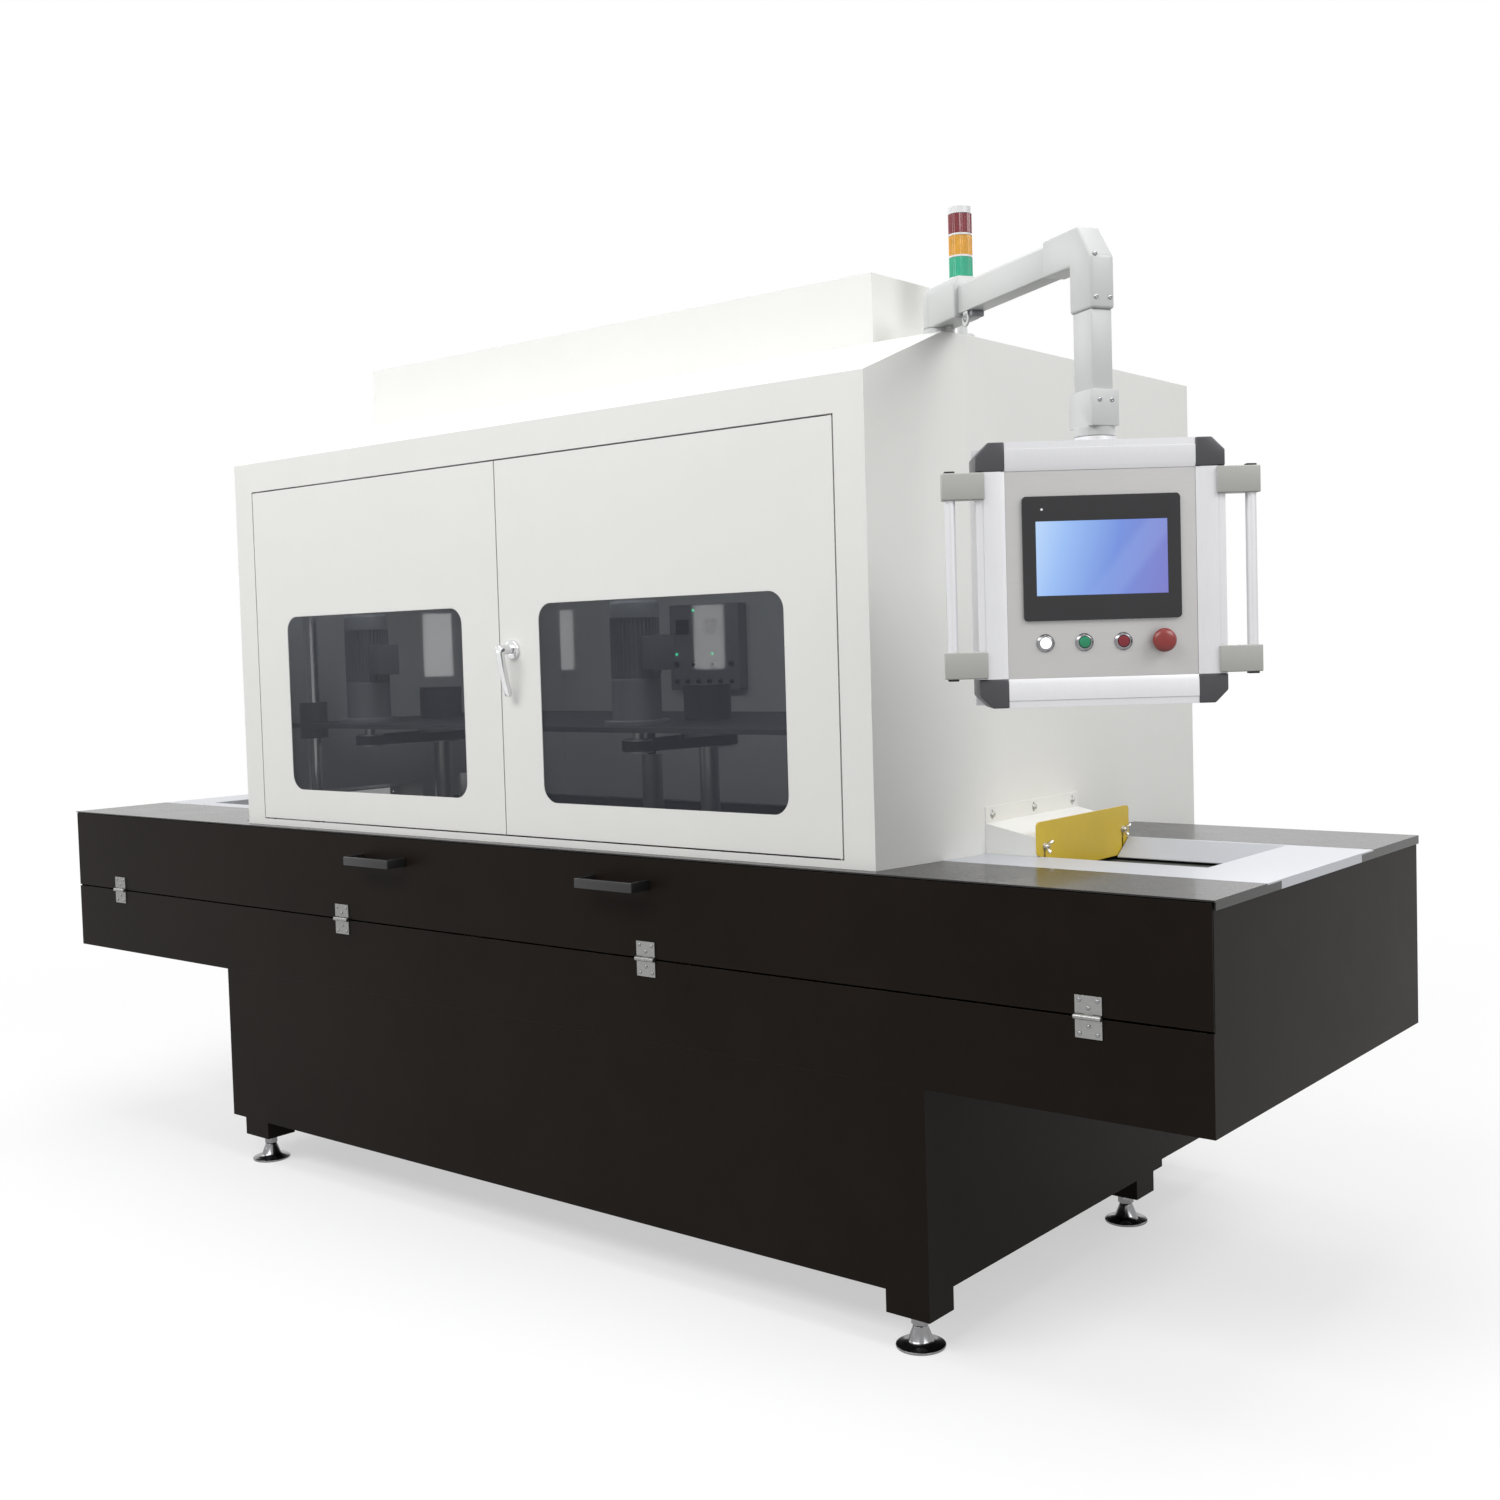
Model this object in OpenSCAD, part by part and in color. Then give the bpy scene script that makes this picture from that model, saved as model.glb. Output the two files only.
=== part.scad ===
// Sheet metal deburring machine: a belt carries flat parts under two brush heads.
// Places called x run from the left end, places called y run back from the front face.

/* [Table] */
// Length of the machine table
body_l = 3720; // [3500:10:4200]
// Depth of the table
body_w = 1034; // [1010:2:1080]
// Height of the table top
deck_z = 935; // [930:1:980]
// Height of the underside of the table box
trough_z = 526; // [500:2:540]
// Height of the hinge line of the front flap
flap_line_z = 709; // [690:1:730]
// Thickness of the body sheet
sheet_t = 3; // [2:0.5:4]
// Depth of the folded lip at each table end
lip_h = 18; // [12:1:24]
// Inset of the end walls under the lip
end_inset = 5; // [4:0.5:8]

/* [Base] */
// Right table end to the base cabinet
base_end = 598; // [560:2:660]
// Distance of the base cabinet from the left end
base_x = 786; // [700:2:800]
// Depth of the base cabinet
base_w = 995; // [960:1:1005]
// Height of the underside of the base cabinet
base_z = 116; // [100:1:130]
// Length of a leg block
leg_l = 103; // [90:1:120]
// Width of a leg block
leg_w = 85; // [70:1:100]
// Drop of a leg block below the base cabinet
leg_drop = 46; // [36:1:52]
// Radius of a foot pad
pad_r = 50; // [40:1:60]
// Radius of a foot stud
stud_r = 10; // [8:0.5:12]
// Depth of the machine to the back of the rear cabinet
rear_w = 1363; // [1300:2:1420]
// Height of the underside of the rear cabinet
rear_z = 133; // [110:1:160]
// Height of the top of the rear cabinet
rear_top_z = 880; // [860:2:900]

/* [Housing] */
// Left end of the front of the housing
hood_x0 = 877; // [850:1:900]
// Right table end to the front right corner of the housing
feed_deck = 719; // [710:1:735]
// Setback of the housing front from the table front
hood_y = 29; // [20:1:40]
// Width of the right corner facet
facet_l = 46; // [30:1:60]
// Depth of the right corner facet
facet_w = 296; // [200:2:340]
// Width of the left corner facet
left_facet_l = 140; // [60:2:150]
// Depth of the left corner facet
left_facet_w = 217; // [150:1:260]
// Height of the top edge of the housing front
front_top_z = 1914; // [1890:2:1960]
// Height of the flat roof
roof_z = 2010; // [1990:2:2040]
// Depth of the sloped strip of the roof
slope_w = 229; // [180:1:240]
// Front right corner of the housing to the roof box
roof_box_end = 137; // [120:1:300]
// Front left corner of the housing to the roof box
roof_box_in = 323; // [280:1:380]
// Depth of the box on the roof
roof_box_w = 300; // [200:5:400]
// Height of the box on the roof
roof_box_h = 145; // [100:1:180]

/* [Doors] */
// Front left corner of the housing to the left door
door_in = 79; // [70:1:88]
// Share of the door opening that the left door takes
door_share = 0.4952; // [0.485:0.001:0.505]
// Front right corner of the housing to the right door
door_end = 80; // [70:1:90]
// Height of the lower edge of the doors
door_z = 955; // [950:1:985]
// Height of a door
door_h = 878; // [800:2:890]
// Depth of a door tray
door_t = 25; // [24:1:30]
// Gap around the doors
door_gap = 3.5; // [3.5:0.1:4.5]
// Margin beside a window
window_side = 134; // [110:1:150]
// Margin below a window
window_low = 81; // [70:1:100]
// Height of a window
window_h = 459; // [400:1:500]
// Corner radius of a window
window_r = 40; // [25:1:50]
// Thickness of a window pane
pane_t = 5; // [4:0.5:6]
// Radius of a door pivot pin
pivot_r = 4; // [3:0.25:5]
// Height of the door lever pivot
lever_z = 1391; // [1360:1:1420]
// Distance of the lever pivot from the edge of the right door
lever_in = 47; // [40:1:55]
// Length of the door lever
lever_l = 105; // [80:1:120]
// Reach of the door lever from the door
lever_out = 50; // [40:1:56]
// Radius of the lever shaft
lever_shaft_r = 5; // [4:0.5:6]

/* [Front flap] */
// Width of a flap hinge
flap_hinge_w = 54; // [40:1:60]
// Height of one hinge leaf
leaf_h = 33; // [28:1:36]
// Thickness of a hinge leaf
leaf_t = 2.5; // [2:0.1:3]
// Radius of a hinge barrel
barrel_r = 5; // [4.5:0.1:6]
// Radius of a flap hinge pin
flap_pin_r = 2.5; // [2:0.1:3]
// Inset of the end hinges
flap_hinge_in = 241; // [200:1:280]
// Length of a flap handle
pull_l = 175; // [150:1:200]
// Reach of a flap handle
pull_out = 57; // [45:1:60]
// Height of a flap handle bar
pull_h = 22; // [16:1:26]
// Thickness of a flap handle bar
pull_t = 8; // [6:1:12]
// Height of the flap handles
pull_z = 872; // [860:1:880]

/* [Feed and exit] */
// Mouth to the front edge of the feed plate
plate_front = 143; // [130:1:150]
// Mouth to the back edge of the plates
plate_back = 10; // [8:1:25]
// Width of the mouths
mouth_w = 383; // [380:1:396]
// Middle of the belt as a share of the table width
mouth_share = 0.5382; // [0.534:0.0002:0.542]
// Distance of the feed opening from the table end
mouth_end = 179; // [160:1:200]
// Length of the tunnel hood
tunnel_l = 124; // [100:1:140]
// Height of the tunnel hood at its mouth
tunnel_low = 39; // [36:1:50]
// Height of the tunnel hood at the housing
tunnel_high = 64; // [60:1:90]
// Height of the fixing flange of the tunnel hood
tunnel_flange = 33; // [26:1:40]
// Width of the adjustable guard
guard_w = 402; // [392:1:410]
// Height of the guard above the table
guard_up = 71; // [60:1:90]
// Drop of the guard below the table
guard_down = 36; // [25:1:38]
// Travel of the guard
guard_travel = 40; // [20:1:45]

/* [Belt] */
// Width of the belt
belt_w = 370; // [340:1:376]
// Thickness of the belt
belt_t = 5; // [3:0.5:6]
// Distance of the belt surface below the table top
belt_down = 45; // [43:1:50]
// Radius of a belt roller
roller_r = 60; // [50:1:64]
// Distance of a roller axis from the table end
roller_in = 110; // [100:1:130]
// Radius of a roller shaft
roller_shaft_r = 15; // [12:0.5:18]

/* [Brush heads] */
// Front left corner of the housing to the left brush
head_in = 193; // [187:1:225]
// Distance between the brushes as a share of the housing front
head_share = 0.4887; // [0.475:0.0001:0.495]
// Distance of the motor axis from the front
motor_y = 300; // [290:1:310]
// Radius of a motor
motor_r = 60; // [50:1:66]
// Height of a motor
motor_h = 300; // [260:1:320]
// Height of the head plate underside
head_z = 1190; // [1180:1:1200]
// Thickness of the head plate
head_t = 12; // [8:1:16]
// Radius of a brush
brush_r = 170; // [140:1:180]
// Radius of a spindle shaft
spindle_r = 25; // [20:0.5:30]
// Radius of a guide column
column_r = 20; // [15:0.5:24]
// Lift of the brush heads
head_travel = 60; // [40:1:70]

/* [Pendant] */
// Distance of the arm pivot from the right end
swivel_in = 713; // [705:1:725]
// Distance of the arm pivot from the front
swivel_y = 291; // [285:1:320]
// Radius of the arm swivel
swivel_r = 33; // [28:0.5:34]
// Length of the pendant arm
arm_l = 585; // [560:1:600]
// Turn of the arm towards the front
arm_turn = 30; // [15:1:45]
// Width of the arm tube
tube_w = 40; // [34:1:46]
// Height of the arm tube
tube_h = 60; // [50:1:64]
// Drop from the underside of the arm to that of the elbow
elbow_drop = 85; // [78:1:98]
// Drop from the underside of the arm to the top of the panel
panel_drop = 309; // [298:1:328]
// Width of the panel
panel_w = 427; // [410:1:440]
// Height of the panel
panel_h = 455; // [440:1:470]
// Depth of the panel
panel_d = 90; // [80:1:100]
// Turn of the panel
panel_turn = 38.9; // [20:0.1:60]
// Width of the panel frame bars
bar_w = 50; // [46:1:52]
// Width of the screen unit
screen_unit_w = 271; // [262:1:276]
// Height of the screen unit
screen_unit_h = 213; // [205:1:218]
// Spacing of the buttons
button_pitch = 67; // [60:1:70]
// Reach of the panel handles from the panel middle
grip_reach = 272; // [260:1:280]
// Radius of a panel handle rod
grip_r = 9.3; // [8:0.1:11]

/* [Stack light] */
// Radius of a lens
lens_r = 25; // [20:0.5:30]
// Height of a lens
lens_h = 41; // [34:1:46]
// Distance of the stack light from the right end
light_in = 720; // [700:1:740]
// Distance of the stack light from the front
light_y = 390; // [384:1:420]
// Height of the light pole above the roof
pole_h = 131; // [126:1:145]

/* [Hidden] */
$fn = 64;

// Shared clearances
run_gap = 0.3;
fit_gap = 0.05;
seat_gap = 0.2;
over = 1;

// Reach of the panel front from the drop tube axis
grip_lip = 8;
panel_reach = panel_d / 2 + grip_lip;
elbow_dx = arm_l * cos(arm_turn);
elbow_dy = arm_l * sin(arm_turn);
side_reach = max(0, elbow_dx - swivel_in + grip_reach * cos(panel_turn)
    + panel_reach * sin(panel_turn));
front_reach = elbow_dy - swivel_y + grip_reach * sin(panel_turn)
    + panel_reach * cos(panel_turn);
collar_l = 60;
left_x = -(body_l + side_reach) / 2;
front_y = front_reach - (front_reach + rear_w + collar_l) / 2;

// Table
wall_x0 = end_inset;
wall_x1 = body_l - end_inset;
deck_low_z = deck_z - sheet_t;
flap_gap = 2;
rail_w = 25;
rail_y = 32;
well_in = 63;
well_end = 62;
well_back = 34;
well_y0 = 70;
well_y1 = body_w - well_back;
support_w = 20;
plate_gap = 0.5;
lip_front = 80;
lip_back = 56;
// Height of the flap skin above the hinge line
flap_z0 = flap_line_z + flap_gap;
flap_z1 = deck_low_z - flap_gap;

// Base and feet
base_x1 = body_l - base_end;
base_l = base_x1 - base_x;
leg_z = base_z - leg_drop;
left_leg_in = 58;
back_leg_in = 46;
pad_edge_h = 6;
pad_h = 42;
neck_r = 14;
cone_r = 30;
cone_z = 12;
socket_z = 10;
nut_h = 25;
nut_r = 18.5;
stud_grip = 28;

// Housing
hood_x1 = body_l - feed_deck;
hood_left = hood_x0 - left_facet_l;
hood_right = hood_x1 + facet_l;
well_x0 = hood_left + well_in;
well_x1 = hood_right - well_end;
slope_y = hood_y + slope_w;
facet_y = hood_y + facet_w;
left_facet_y = hood_y + left_facet_w;
roof_box_y = slope_y;
roof_box_x = hood_x0 + roof_box_in;
roof_box_l = hood_x1 - roof_box_end - roof_box_x;
door_x = hood_x0 + door_in;
door_x2 = hood_x1 - door_end;
left_door_w = (door_x2 - door_x) * door_share;
door_x1 = door_x + left_door_w;
right_door_w = door_x2 - door_x1;
door_top = door_z + door_h;
jamb_gap = 8;
jamb_t = 2;
jamb_d = 30;
pivot_in = 10;
pivot_back = 12;
pivot_block = 24;
pivot_reach = 14;
block_h = 18;
skin_t = 2;
pane_lap = 18;

// Tunnel and plates
mouth_x1 = body_l - mouth_end;
belt_mid_y = body_w * mouth_share;
mouth_y0 = belt_mid_y - mouth_w / 2;
mouth_y1 = belt_mid_y + mouth_w / 2;
plate_y0 = mouth_y0 - plate_front;
plate_y1 = mouth_y1 + plate_back;
lip_y0 = mouth_y0 - lip_front;
lip_y1 = mouth_y1 - lip_back;
tunnel_y0 = mouth_y0 - 2 * sheet_t;
tunnel_y1 = mouth_y1 + sheet_t;
guide_in = 53;
guide_drop = 38;
guide_t = 2;
guard_t = 3;
tongue_w = 37;
screw_in = 25;
wing_z = deck_z + tunnel_low / 2;
wing_r = 3;
slot_play = 0.5;
plate_reach = 45;
plate_x0 = hood_right - plate_reach;
exit_x1 = hood_left + plate_reach;
exit_plate_front = 65;
exit_plate_y0 = mouth_y0 - exit_plate_front;
bolt_r = 3.5;
bolt_head_r = 6;
bolt_head_h = 4;
slot_l = 20;

// Belt
belt_z = deck_z - belt_down;
loop_r = roller_r + run_gap;
roller_z = belt_z - belt_t - loop_r;
roller_x0 = roller_in;
roller_x1 = body_l - roller_in;
bed_t = 4;
side_t = 8;
side_gap = 9;
side_y0 = belt_mid_y - belt_w / 2 - side_gap - side_t;
side_y1 = belt_mid_y + belt_w / 2 + side_gap + side_t;
side_z0 = 775;
side_z1 = 875;
side_end = 70;
bar_n = 6;
bar_h = 24;
bar_t = 30;
block_l = 84;
block_t = 30;
block_z = 74;
gear_l = 120;
gear_w = 96;
gear_h = 140;
gear_motor_r = 62;
gear_motor_l = 210;
roller_short = 3;
roller_len = belt_w - 2 * roller_short;

// Brush heads
head_x = hood_x0 + head_in;
head_pitch = (hood_x1 - hood_x0) * head_share;
motors_x = [head_x, head_x + head_pitch];
spindle_y = belt_mid_y;
head_side = 3;
head_end = 43;
head_y0 = 175;
head_back = 99;
head_x0 = hood_x0 + head_side;
head_x1 = hood_x1 - head_end;
head_y1 = body_w - head_back;
column_in = 53;
column_end = 93;
column_front = 215;
column_back = 139;
column_xs = [hood_x0 + column_in, hood_x1 - column_end];
column_ys = [column_front, body_w - column_back];
column_top = 1560;
beam_h = 30;
beam_w = 60;
boss_r = 38;
boss_up = 58;
boss_down = 30;
column_foot_r = 45;
column_foot_h = 12;
cyl_x = head_x + head_pitch / 2;
cyl_r = 30;
cyl_top = 1080;
rod_r = 12;
rod_in = 140;
motor_flange_r = 80;
motor_flange_h = 12;
motor_cowl_h = 100;
fan_cap_h = 46;
fin_n = 24;
fin_t = 3;
fin_d = 7;
fin_short = 0.5;
fin_h = 150;
motor_shaft_r = 14;
shaft_up = 40;
pulley_z = 1134;
pulley_h = 33;
small_pulley_r = 35;
big_pulley_r = 70;
timing_t = 4;
timing_gap = 0.6;
housing_r = 60;
housing_h = 88;
hub_t = 15;
hub_in = 8;
brush_gap = 3;
brush_z = belt_z + brush_gap;
brush_h = 37;
brush_bore = 60;

// Pendant
swivel_x = body_l - swivel_in;
ring_h = 10;
post_r = 20;
post_h = 64;
head_h = 84;
head_cap_h = 18;
head_cap_in = 10;
head_nose = 125;
head_w = 58;
ear_t = 8;
ear_r = 13;
ear_out = 42;
ear_drop = 6;
tube_t = 4;
tube_chamfer = 8;
tube_up = 7.7;
arm_z = roof_z + ring_h + run_gap + tube_up;
elbow_z = arm_z - elbow_drop;
panel_top_z = arm_z - panel_drop;
elbow_w = 46;
elbow_back = 125;
elbow_wrap = 3;
elbow_nose = 36;
elbow_cut_x = 44;
elbow_cut_z = 58;
elbow_top = arm_z + tube_h + elbow_wrap;
coupling_l = 74;
coupling_w = 54;
coupling_up = 9;
coupling_z0 = panel_top_z + coupling_up;
coupling_h = 78;
collar_r = 36;
collar_h = 16;
neck_rad = 24;
neck_in = 24;
frame_t = 4;
face_t = 3;
face_back = 4;
face_lip = 1;
corner_cut = 22;
corner_proud = 1;
panel_z0 = panel_top_z - panel_h;
panel_mid_z = panel_top_z - panel_h / 2;
front_n = -panel_d / 2;
face_n = front_n + face_back;
bezel_t = 6;
bezel_r = 7;
unit_down = 200.5;
unit_z = panel_top_z - unit_down;
glass_w = 225;
glass_h = 127;
glass_t = 1.2;
rear_unit_in = 12;
rear_unit_d = 35;
button_down = 345;
button_z = panel_top_z - button_down;
button_x0 = -99;
ring_r = 15.5;
ring_t = 5;
sleeve_r = 11;
sleeve_l = 30;
cap_r = 9.6;
cap_proud = 2;
cap_h = 12;
press_travel = 4;
stop_r = 20.5;
stop_h = 14;
stop_gap = 8;
stop_stem_r = 8;
grip_h = 46;
grip_t = 28;
grip_tongue = 14.5;
grip_inset = 14;
grip_top = 51;
grip_low = 52;

// Stack light
pole_r = 11;
pole_foot_r = 26;
pole_foot_h = 12;
lamp_ring_h = 4;
lamp_cap_h = 14;
light_x = body_l - light_in;
light_z = roof_z + pole_h;

// Rear fittings
cover_share = 0.329;
cover_w = (hood_right - hood_left) * cover_share;
cover_h = 700;
cover_z = 1080;
cover_t = 2;
cover_in = 120;
collar_out_r = 75;
collar_t = 3;
collar_flange_r = 95;
collar_z = 1500;
gland_r = 16;
gland_bore = 8;
gland_l = 25;
gland_z = 320;
gland_in = 300;

white = [0.89, 0.89, 0.87];
black = [0.13, 0.12, 0.11];
steel = [0.75, 0.75, 0.76];
grey = [0.8, 0.81, 0.81];
yellow = [0.82, 0.66, 0.14];

// A block between two places on each axis
module block(x0, x1, y0, y1, z0, z1) {
    translate([left_x + x0, front_y + y0, z0]) cube([x1 - x0, y1 - y0, z1 - z0]);
}

module rod_x(x0, x1, y, z, r) {
    translate([left_x + x0, front_y + y, z]) rotate([0, 90, 0]) cylinder(r = r, h = x1 - x0);
}

module rod_y(x, y0, y1, z, r) {
    translate([left_x + x, front_y + y0, z]) rotate([-90, 0, 0]) cylinder(r = r, h = y1 - y0);
}

module rod_z(x, y, z0, z1, r) {
    translate([left_x + x, front_y + y, z0]) cylinder(r = r, h = z1 - z0);
}

// An outline of [x, z] points drawn out from y0 to y1
module drawn_y(y0, y1) {
    translate([left_x, front_y + y1, 0]) rotate([90, 0, 0])
        linear_extrude(height = y1 - y0) children();
}

// An outline of [y, z] points drawn out from x0 to x1
module drawn_x(x0, x1) {
    translate([left_x + x0, front_y, 0]) rotate([90, 0, 90])
        linear_extrude(height = x1 - x0) children();
}

// An outline of [x, y] points drawn up from z0 to z1
module drawn_z(z0, z1) {
    translate([left_x, front_y, z0]) linear_extrude(height = z1 - z0) children();
}

module rounded_outline(x0, x1, z0, z1, r) {
    translate([x0 + r, z0]) square([x1 - x0 - 2 * r, z1 - z0]);
    translate([x0, z0 + r]) square([x1 - x0, z1 - z0 - 2 * r]);
    for (x = [x0 + r, x1 - r], z = [z0 + r, z1 - r]) translate([x, z]) circle(r = r);
}

// Base, feet and rear cabinet

leg_xs = [base_x + left_leg_in, base_x1 - leg_l];
leg_ys = [0, base_w - back_leg_in - leg_w];

module base_cabinet() {
    color(black) difference() {
        union() {
            block(base_x, base_x1, 0, base_w, base_z, trough_z);
            for (x = leg_xs, y = leg_ys) block(x, x + leg_l, y, y + leg_w, leg_z, base_z + sheet_t);
        }
        block(base_x + sheet_t, base_x1 - sheet_t, sheet_t, base_w - sheet_t,
            base_z + sheet_t, trough_z + over);
        for (x = leg_xs, y = leg_ys)
            rod_z(x + leg_l / 2, y + leg_w / 2, leg_z - over, leg_z + stud_grip + seat_gap,
                stud_r + seat_gap);
    }
}

module levelling_feet() {
    color(steel) for (x = leg_xs, y = leg_ys)
        translate([left_x + x + leg_l / 2, front_y + y + leg_w / 2, 0]) foot();
}

module foot() {
    difference() {
        rotate_extrude() polygon([[0, 0], [pad_r, 0], [pad_r, pad_edge_h], [cone_r, cone_z],
            [neck_r, pad_h], [0, pad_h]]);
        translate([0, 0, socket_z]) cylinder(r = stud_r + seat_gap, h = pad_h);
    }
    translate([0, 0, socket_z]) cylinder(r = stud_r, h = leg_z + stud_grip - socket_z);
    translate([0, 0, leg_z - seat_gap - nut_h]) difference() {
        cylinder(r = nut_r, h = nut_h, $fn = 6);
        translate([0, 0, -over]) cylinder(r = stud_r + seat_gap, h = nut_h + 2 * over);
    }
}

// Outline of the rear cabinet, drawn in by w
function rear_outline(w) = [
    [base_w + w, rear_z + w], [rear_w - w, rear_z + w], [rear_w - w, rear_top_z - w],
    [body_w + w, rear_top_z - w], [body_w + w, trough_z - w], [base_w + w, trough_z - w]];

module rear_cabinet() {
    color(black) difference() {
        drawn_x(base_x, base_x1) polygon(rear_outline(0));
        drawn_x(base_x + sheet_t, base_x1 - sheet_t) polygon(rear_outline(sheet_t));
        rod_y(base_x1 - gland_in, rear_w - sheet_t - over, rear_w + over, gland_z,
            gland_bore + sheet_t);
    }
}

// Table

module table_box() {
    color(black) {
        difference() {
            block(wall_x0, wall_x1, 0, body_w, trough_z, deck_low_z);
            block(wall_x0 + sheet_t, wall_x1 - sheet_t, sheet_t, body_w - sheet_t,
                trough_z + sheet_t, deck_z);
            block(-over, body_l + over, -over, sheet_t + flap_gap,
                flap_line_z - flap_gap, deck_z);
        }
        block(wall_x0 + sheet_t, wall_x1 - sheet_t, rail_y, rail_y + rail_w,
            deck_low_z - rail_w, deck_low_z);
    }
}

module table_top() {
    color(black) {
        difference() {
            block(0, body_l, 0, body_w, deck_low_z, deck_z);
            block(well_x0, well_x1, well_y0, well_y1, deck_low_z - over, deck_z + over);
            block(well_x1 - over, body_l + over, plate_y0, plate_y1,
                deck_low_z - over, deck_z + over);
            block(-over, well_x0 + over, exit_plate_y0, plate_y1,
                deck_low_z - over, deck_z + over);
        }
        for (end = [[0, exit_plate_y0], [body_l - sheet_t, lip_y0]]) {
            block(end[0], end[0] + sheet_t, sheet_t + flap_gap, end[1],
                deck_z - lip_h, deck_low_z);
            block(end[0], end[0] + sheet_t, lip_y1, body_w, deck_z - lip_h, deck_low_z);
        }
        plate_support(plate_x0, wall_x1 - sheet_t - seat_gap, plate_y0);
        plate_support(wall_x0 + sheet_t + seat_gap, exit_x1, exit_plate_y0);
    }
}

// Strips under the table top that carry a pale plate
module plate_support(x0, x1, y0) {
    block(x0, x1, y0 - support_w / 2, y0 + support_w / 2, deck_low_z - sheet_t, deck_low_z);
    block(x0, x1, mouth_y1 + guide_t + seat_gap, plate_y1 + support_w / 2,
        deck_low_z - sheet_t, deck_low_z);
}

// Folded guide below a mouth edge at y, leaning in by side * guide_in
module mouth_guide(x0, x1, y, side) {
    drawn_x(x0, x1) polygon([[y, deck_z], [y - side * guide_t, deck_z],
        [y - side * guide_t, deck_low_z - guide_t],
        [y + side * guide_in, deck_z - guide_drop - guide_t],
        [y + side * guide_in, deck_z - guide_drop]]);
}

module feed_plate() {
    guide_x0 = hood_right + tunnel_l + 2 * guard_t;
    color(white) {
        difference() {
            block(plate_x0, body_l, plate_y0 + plate_gap, plate_y1 - plate_gap,
                deck_low_z, deck_z);
            block(plate_x0 - over, mouth_x1, mouth_y0, mouth_y1, deck_low_z - over, deck_z + over);
        }
        block(body_l - sheet_t, body_l, lip_y0 + plate_gap, lip_y1 - plate_gap,
            deck_z - lip_h, deck_z);
        mouth_guide(guide_x0, mouth_x1, mouth_y0, 1);
        mouth_guide(guide_x0, mouth_x1, mouth_y1, -1);
    }
}

module exit_plate() {
    guide_x1 = hood_left - tunnel_l - 2 * guard_t;
    color(white) {
        difference() {
            block(0, exit_x1, exit_plate_y0 + plate_gap, plate_y1 - plate_gap,
                deck_low_z, deck_z);
            block(mouth_end, exit_x1 + over, mouth_y0, mouth_y1, deck_low_z - over, deck_z + over);
        }
        block(0, sheet_t, exit_plate_y0 + plate_gap, lip_y1 - plate_gap, deck_z - lip_h, deck_z);
        // End fold of the mouth
        block(mouth_end - guide_t, mouth_end, mouth_y0, mouth_y1, deck_low_z - guide_drop,
            deck_z);
        mouth_guide(mouth_end, guide_x1, mouth_y0, 1);
        mouth_guide(mouth_end, guide_x1, mouth_y1, -1);
    }
}

// Tunnel hood that starts at x and reaches out by side * tunnel_l
module tunnel_hood(x, side) {
    end = x + side * tunnel_l;
    t = side * sheet_t;
    color(white) {
        difference() {
            drawn_y(tunnel_y0, tunnel_y1) polygon([[x, deck_z], [end, deck_z],
                [end, deck_z + tunnel_low], [x, deck_z + tunnel_high]]);
            drawn_y(tunnel_y0 + sheet_t, tunnel_y1 - sheet_t) polygon([[x - t, deck_z - over],
                [end - t, deck_z - over], [end - t, deck_z + tunnel_low - sheet_t],
                [x - t, deck_z + tunnel_high - sheet_t]]);
            block(min(end - 2 * t, end + t), max(end - 2 * t, end + t),
                tunnel_y0 + tongue_w, tunnel_y1 - tongue_w, deck_z - over,
                deck_z + tunnel_low - 2 * sheet_t);
            for (y = wing_ys) rod_x(min(end - 2 * t, end + t), max(end - 2 * t, end + t), y,
                wing_z, wing_r + seat_gap);
        }
        difference() {
            block(min(x, x + t), max(x, x + t), tunnel_y0, tunnel_y1,
                deck_z + tunnel_high - sheet_t, deck_z + tunnel_high + tunnel_flange);
            for (y = flange_ys) bolt_slot(min(x - t, x + 2 * t), max(x - t, x + 2 * t), y);
        }
    }
}

wing_ys = [tunnel_y0 + screw_in, tunnel_y1 - screw_in];
flange_mid_z = deck_z + tunnel_high + tunnel_flange / 2;
flange_ys = [tunnel_y0 + screw_in, (tunnel_y0 + tunnel_y1) / 2, tunnel_y1 - screw_in];

module bolt_slot(x0, x1, y) {
    for (z = [-slot_l / 2 + bolt_r, slot_l / 2 - bolt_r])
        rod_x(x0, x1, y, flange_mid_z + z, bolt_r);
    block(x0, x1, y - bolt_r, y + bolt_r, flange_mid_z - slot_l / 2 + bolt_r,
        flange_mid_z + slot_l / 2 - bolt_r);
}

module feed_hood() tunnel_hood(hood_right, 1);

module exit_hood() tunnel_hood(hood_left, -1);

// Flange bolts of both hoods and the wing screws of the guard
module hood_screws() {
    color(steel) {
        for (y = flange_ys) {
            rod_x(hood_right, hood_right + sheet_t, y, flange_mid_z, bolt_r - seat_gap);
            rod_x(hood_right + sheet_t, hood_right + sheet_t + bolt_head_h, y, flange_mid_z,
                bolt_head_r);
            rod_x(hood_left - sheet_t, hood_left, y, flange_mid_z, bolt_r - seat_gap);
            rod_x(hood_left - sheet_t - bolt_head_h, hood_left - sheet_t, y, flange_mid_z,
                bolt_head_r);
        }
        for (y = wing_ys) wing_screw(hood_right + tunnel_l, y);
    }
}

// Wing screw whose shank crosses the guard; x is the front of the hood
module wing_screw(x, y) {
    x1 = x + 2 * run_gap + guard_t;
    rod_x(x - sheet_t, x1, y, wing_z, wing_r);
    rod_x(x1, x1 + 2 * wing_r, y, wing_z, 2 * wing_r);
    block(x1 + wing_r, x1 + 6 * wing_r, y - wing_r / 2, y + wing_r / 2,
        wing_z - 4 * wing_r, wing_z + 4 * wing_r);
}

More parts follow.
